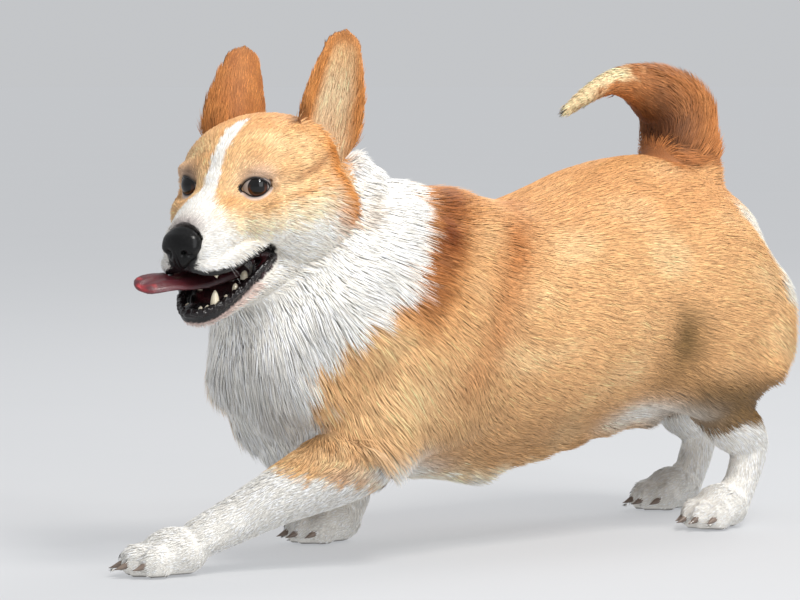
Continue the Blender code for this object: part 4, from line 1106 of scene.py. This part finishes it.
def eyeMaterial(side):
    name = "eyeLeft" if side > 0 else "eyeRight"
    made = material(name, eyeLook["iris"][0], 0.05, Specular_IOR_Level=0.45)
    place, inputs = start(made)
    centre = headPlace(*eyePlaces[side])
    gaze = (headTurn @ outward(side) @ Vector(eyeLook["gaze"])).normalized()
    offset = place.node("ShaderNodeVectorMath", {"operation": "SUBTRACT"}, 0, {0: place, 1: centre})

    def along(way):
        sockets = {0: offset, 1: way}
        return place.node("ShaderNodeVectorMath", {"operation": "DOT_PRODUCT"}, "Value", sockets)

    def between(value, low, high):
        return place.node("ShaderNodeMapRange", Value=value, From_Min=low, From_Max=high)

    ahead = along(gaze) * (110.0 / eyeSize)
    fibre = place.node("ShaderNodeTexNoise", Vector=place, Scale=900.0, Detail=4.0)
    colour = mixed(place, fibre, *eyeLook["iris"])
    for share, name in ((between(along(headUp) * 100.0, -0.1, 0.3), "lashShade"),
                        (between(ahead, 1.0, 1.035), "pupil"), (between(ahead, 0.94, 0.87), "ring"),
                        (between(ahead, 0.88, 0.83), "white")):
        colour = mixed(place, share, colour, eyeLook[name])
    place.feed(inputs["Base Color"], colour)
    return made


# Lids: rows of a closed ring, each with how far it lies outside the opening and how proud it stands
lidLook = {"points": 64, "corner": 0.14, "upper": 0.69, "lower": 0.63,
           "rows": ((-0.04, -0.2), (0.0, 0.05), (0.06, 0.1), (0.14, 0.07), (0.24, 0.04), (0.36, 0.02),
                    (0.48, -0.08), (0.4, -0.35), (0.1, -0.4)),
           "darkAbove": (1, 1, 1, 0.8, 0.3, 0.05, 0, 1, 1), "darkBelow": (1, 1, 0.95, 0.25, 0, 0, 0, 1, 1)}
skinTree = BVHTree.FromPolygons([Vector(v) for v in skinPoints], triangles.tolist())


def lidRow(side, off, rise):
    turn = headTurn @ outward(side)
    centre = headPlace(*eyePlaces[side])
    row = np.empty((lidLook["points"], 3))
    for k in range(len(row)):
        angle = 2 * math.pi * k / len(row)
        c, s = math.cos(angle), math.sin(angle)
        inner = math.exp(-((c * side + 1) / 0.12) ** 2)
        y = (1.0 + off) * c - side * lidLook["corner"] * inner
        z = lidLook["upper" if s > 0 else "lower"] * math.copysign(abs(s) ** 1.2, s) + off * s - 0.12 * inner
        # the row lies on the ball at the opening and on the skin farther out
        hit = skinTree.ray_cast(centre + turn @ Vector((3, y, z)) * 0.01, turn @ Vector((-1, 0, 0)))[3]
        x = math.sqrt(max(0.25, eyeSize ** 2 + 0.02 - y * y - z * z))
        if hit is not None:
            share = float(step(off, 0.03, 0.26))
            skinAt = 3 - 100 * hit
            x = x * (1 - share) + skinAt * share
            if off > -0.01 and rise > -0.3:
                x = max(x, skinAt)
        row[k] = x + rise, y, z
    for _ in range(4):
        row[:, 0] = (np.roll(row[:, 0], 1) + 2 * row[:, 0] + np.roll(row[:, 0], -1)) / 4
    return np.array(centre) + row @ np.array(turn).T / 100


def lidRing(name, side):
    rows, count = len(lidLook["rows"]), lidLook["points"]
    co = np.concatenate([lidRow(side, off, rise) for off, rise in lidLook["rows"]])
    faces = []
    for a in range(rows):
        for k in range(count):
            b, after = (a + 1) % rows, (k + 1) % count
            faces.append((a * count + k, a * count + after, b * count + after, b * count + k))
    mesh = bpy.data.meshes.new(name)
    mesh.from_pydata(co.tolist(), [], faces)
    piece = placed(name, mesh)
    inEdit(piece, bpy.ops.mesh.normals_make_consistent, inside=False)
    smooth(piece)
    # dark rims with a paler line along the lower lid, fading into the face
    row = np.arange(len(co)) // count
    angle = 2 * math.pi * (np.arange(len(co)) % count) / count
    low = np.sin(angle) < -0.1
    colour = headMarks(inHead(points(piece)), normals(piece) @ headAxes) * 0.9
    colour = over(colour, 0.8 * low * np.isin(row, (3, 4)), "mauvePale")
    dark = np.where(low, np.array(lidLook["darkBelow"])[row], np.array(lidLook["darkAbove"])[row])
    colour = over(colour, dark + 0.7 * (np.cos(angle) * side < -0.9) * (row < 5), "black")
    paint(piece, colour, row < 3)
    return piece


lidSkin = skinMaterial("lidSkin")
for side, name in ((1, "eye_left"), (-1, "eye_right")):
    ball = orb((0, 0, 0), eyeSize * 0.01, 48, 32)
    ball.name = name + "Ball"
    co = points(ball)
    co[:, 2] += eyeLook["cornea"] * step(co[:, 2], 0.0088, 0.0118)
    turn = headTurn @ outward(side) @ Matrix.Rotation(math.pi / 2, 3, "Y")
    setPoints(ball, co @ np.array(turn).T + np.array(headPlace(*eyePlaces[side])))
    smooth(ball)
    ball.data.materials.append(eyeMaterial(side))
    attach(ball, "root")
    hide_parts(name)
    lid = lidRing(name + "Lid", side)
    lid.data.materials.append(lidSkin)
    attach(lid, "root")
print("eyes")

# Nose leather: a ball drawn wide over the wings, with dented nostrils, their slits and the groove between
noseShape = {"centre": (5.72, 0, -3.78), "half": (1.1, 1.66, 1.62), "groove": 0.07, "flatTop": 0.1}
noseDents = ((0.34, (0.86, 0.44, -0.2), (0.3, 0.15, 0.17)), (0.2, (0.62, 0.76, -0.3), (0.25, 0.16, 0.07)),
             (-0.07, (0.55, 0.75, 0.0), (0.4, 0.25, 0.25)))
noseLook = {"name": "noseLeather", "base": (8, 7, 8), "tones": ((3, 3, 3), (11, 10, 11)), "roughness": 0.36,
            "scale": 120.0, "detail": 3.0, "Specular_IOR_Level": 0.05, "Coat_Weight": 0.45,
            "Coat_Roughness": 0.24}


def noseMaterial():
    made = toned(**noseLook)
    place, inputs = start(made)
    cells = place.node("ShaderNodeTexVoronoi", {"feature": "DISTANCE_TO_EDGE"}, Vector=place, Scale=900.0)
    bumped(place, inputs, cells * 4.0, 0.45, 0.0006)
    return made


nose = orb((0, 0, 0), 1, 96, 64)
nose.name = "noseLeather"
ball = unit(points(nose)[:, (2, 0, 1)])
size = 1 - noseShape["groove"] * np.exp(-(ball[:, 1] / 0.07) ** 2) * step(-ball[:, 2], -0.15, 0.3)
for dent, place, width in noseDents:
    size -= dent * spot(onLeft(ball), place, width)
size -= noseShape["flatTop"] * step(ball[:, 2], 0.55, 1.0) * step(ball[:, 0], -0.2, 0.6)
ball *= size[:, None]
ball[:, 1] *= np.interp(ball[:, 2], (-1, -0.55, 0, 0.5, 1), (0.5, 0.74, 0.98, 1.06, 1.0))
setPoints(nose, fromHead(ball * noseShape["half"] + noseShape["centre"]))
smooth(nose)
nose.data.materials.append(noseMaterial())
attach(nose, "root")
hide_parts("nose")

# Lips: thickness in metres, and how far each lies in from the mouth's edge
lipShapes = {"upperLip": {"line": lipLines[0], "thick": 0.0013, "inset": 0.96},
             "lowerLip": {"line": lipLines[1], "thick": 0.0032, "inset": 1.0}}
lipLook = {"name": "lipSkin", "base": (12, 10, 11), "tones": ((6, 5, 6), (34, 25, 26)), "roughness": 0.3,
           "scale": 260.0, "detail": 4.0, "bump": (0.35, 0.0012), "Specular_IOR_Level": 0.25,
           "Coat_Weight": 0.35, "Coat_Roughness": 0.12}
lipSkin = toned(**lipLook)
for name, lip in lipShapes.items():
    run = [headPlace(f, l * lip["inset"], t) for f, l, t in lip["line"]]
    ends = np.sin(np.linspace(0.12, math.pi - 0.12, len(run))) ** 0.4
    piece = cord(name, run, lip["thick"] * ends, 4)
    shaped(piece, "REMESH", mode="VOXEL", voxel_size=0.0006)
    co = points(piece)
    fold = ripple(co * 100, 0.55) * 0.7 + ripple(co * 100, 0.3) * 0.4
    setPoints(piece, co + normals(piece) * (fold * lip["thick"] * 0.3)[:, None])
    smooth(piece)
    piece.data.materials.append(lipSkin)
    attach(piece, "root")

# Tongue with a groove down its middle
tongueShape = {"line": ((-1.5, 0, -6.6), (1, 0, -6.3), (3.5, -0.4, -6.5), (6, -1.2, -6.4), (8, -2, -6.4),
                        (9.35, -2.55, -6.55)),
               "groove": 0.0011, "thinner": 0.0007, "shorter": 0.76, "raised": 0.12}
tongue = copied("tongue")
tongue.name = "tongueFlesh"
shaped(tongue, "REMESH", mode="VOXEL", voxel_size=0.0009)
shaped(tongue, "SMOOTH", factor=0.5, iterations=6)
h = inHead(points(tongue))
h[:, 2] += tongueShape["raised"] * step(h[:, 0], 5, 7)
h[:, 0] = np.where(h[:, 0] > 6, 6 + (h[:, 0] - 6) * tongueShape["shorter"], h[:, 0])
tongueLine = spread(tongueShape["line"], 4)
share = nearestOn(h, tongueLine)[1]
centreOff = np.abs(h[:, 1] - np.interp(share, np.arange(len(tongueLine)), tongueLine[:, 1]))
top = step(normals(tongue) @ headAxes[:, 2], 0.2, 0.8)
inset = tongueShape["groove"] * np.exp(-(centreOff / 0.3) ** 2) * top
inset += tongueShape["thinner"] * step(h[:, 0], 3, 6)
setPoints(tongue, fromHead(h) - normals(tongue) * inset[:, None])
# painted shade: the tongue is given a darkened colour, darker still towards the back inside the mouth
colour = over(filled("tongue", h), 0.4 + 0.4 * ripple(h, 1.4), "gum")
colour *= (0.3 + 0.7 * step(h[:, 0], 4.0, 6.4))[:, None]
# painted sunlight: a bright red on the tip
tone = step(h[:, 0] + 0.5 * ripple(h, 1.0), 7.9, 9.0) * step(h[:, 2], -7.0, -6.3)
paint(tongue, over(colour, tone, "sunlitTongueTip"), np.ones(len(h)))
smooth(tongue)
tongue.data.materials.clear()
tongue.data.materials.append(tongueMaterial())
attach(tongue, "root")
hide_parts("tongue")


# Teeth and claws: a horn modelled once, bent and tapered, and copied to each place
def horn(name, bend, fullness):
    bpy.ops.mesh.primitive_cylinder_add(vertices=12, radius=1, depth=1, location=(0, 0, 0.5))
    piece = bpy.context.object
    piece.name = name
    bpy.ops.object.transform_apply(location=True)
    inEdit(piece, bpy.ops.mesh.subdivide, number_cuts=6)
    co = points(piece)
    height = co[:, 2].copy()
    taper = np.sqrt(np.clip(1 - height ** fullness, 0.01, 1))
    if fullness < 2:
        taper = np.clip(1 - height ** fullness, 0.06, 1)
    co[:, :2] *= taper[:, None] * (1 + 0.12 * np.sin(height * math.pi))[:, None]
    co[:, 0] += bend * height ** 2
    setPoints(piece, co)
    smooth(piece)
    return piece


def planted(template, root, tip, radius, back):
    along = Vector(tip) - Vector(root)
    up = along.normalized()
    side = (Vector(back) - up * up.dot(Vector(back))).normalized()
    piece = placed(template.name, template.data.copy())
    axes = np.array((side * radius, up.cross(side) * radius, along))
    setPoints(piece, points(piece) @ axes + np.array(root))
    return piece


# for each kind of tooth from the front: the share that shows, how thick it is and how far in it sits
toothShares = ((0.55, 1.5, 1), (0.55, 1.5, 1), (1.0, 1.2, 0.97), (0.4, 0.75, 0.8), (0.42, 0.65, 0.76),
               (0.42, 0.6, 0.7))
toothShape = {"bend": 0.4, "fullness": 2.6, "sunk": 0.3, "thick": 0.0095, "farSideShown": 0.3}
toothLook = {"name": "enamel", "base": (238, 228, 200), "tones": ((226, 208, 168), (246, 240, 222)),
             "roughness": 0.22, "scale": 220.0, "Coat_Weight": 0.4}
tooth = horn("tooth", toothShape["bend"], toothShape["fullness"])
teeth = []
for rows, way in ((upperTeeth, -1), (lowerTeeth, 1)):
    for (f, l, t, length, radius), (share, grow, inset) in zip(rows, toothShares):
        for side, shown in ((1, 1), (-1, toothShape["farSideShown"])):
            root = headPlace(f, side * l * inset, t - way * toothShape["sunk"])
            tip = headPlace(f - 0.1, side * l * inset, t + way * length * share * shown)
            teeth.append(planted(tooth, root, tip, radius * grow * toothShape["thick"], -headForward))
bpy.data.objects.remove(tooth, do_unlink=True)
teeth = joinedAs("teeth", teeth)
teeth.data.materials.append(toned(**toothLook))
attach(teeth, "root")

# each paw's place and turn, then each toe's place on it and the size of the toe
paws = (((35.9, 1.6), -18), ((13.6, -6.9), -3), ((-17.6, 6.4), 6), ((-24.2, -6.4), -6))
toes = ((1.05, -1.62, 0.80), (1.95, -0.60, 0.90), (1.95, 0.60, 0.90), (1.05, 1.62, 0.80))
clawShape = {"bend": -1.2, "fullness": 1.8, "thick": 0.0028, "rootAhead": 0.9, "rootHigh": 1.25,
             "tipAhead": 2.3, "tipHigh": 0.45}
clawLook = {"name": "claw", "base": (96, 84, 78), "tones": ((70, 58, 54), (150, 132, 118)),
            "roughness": 0.38, "scale": 160.0, "detail": 3.0}
claw = horn("claw", clawShape["bend"], clawShape["fullness"])
claws = []
for (x, y), turn in paws:
    c, s = math.cos(math.radians(turn)), math.sin(math.radians(turn))
    for ahead, aside, size in toes:
        rows = ((ahead + clawShape["rootAhead"] * size, aside, clawShape["rootHigh"]),
                (ahead + clawShape["tipAhead"] * size, aside * 1.04, clawShape["tipHigh"]))
        ends = [bodyPlace(x + a * c - b * s, y + a * s + b * c, height) for a, b, height in rows]
        claws.append(planted(claw, *ends, clawShape["thick"], (0, 0, -1)))
bpy.data.objects.remove(claw, do_unlink=True)
claws = joinedAs("claws", claws)
claws.data.materials.append(toned(**clawLook))
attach(claws, "root")

# Whiskers: root, length and droop, for the left side
whiskerRows = ((4.4, 2.2, -3.6, 3.4, 0.5), (3.9, 2.5, -4.1, 3.8, 0.8), (4.6, 2.1, -4.5, 2.8, 1.8),
               (4.1, 2.3, -4.9, 2.0, 1.9), (3.2, 2.7, -3.8, 4.2, 0.4))
whiskerShape = {"points": 9, "rootThick": 0.0001, "tipThick": 0.00003, "spread": 0.62}
whiskerLook = {"name": "whisker", "base": (246, 244, 240), "tones": ((238, 234, 228), (252, 251, 249)),
               "roughness": 0.3, "scale": 60.0}
radii = np.linspace(whiskerShape["rootThick"], whiskerShape["tipThick"], whiskerShape["points"])
whiskers = []
for side in (1, -1):
    for f, l, t, long, droop in whiskerRows:
        line = []
        for s in np.linspace(0, 1, whiskerShape["points"]):
            back = 0.375 * s * s * long - 0.3 * s
            aside = l + long * whiskerShape["spread"] * s
            line.append(headPlace(f - back, side * aside, t - droop * s * s))
        whiskers.append(cord("whisker", line, radii, 1))
whiskers = joinedAs("whiskers", whiskers)
whiskers.data.materials.append(toned(**whiskerLook))
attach(whiskers, "root")
print("mouth, claws and whiskers")
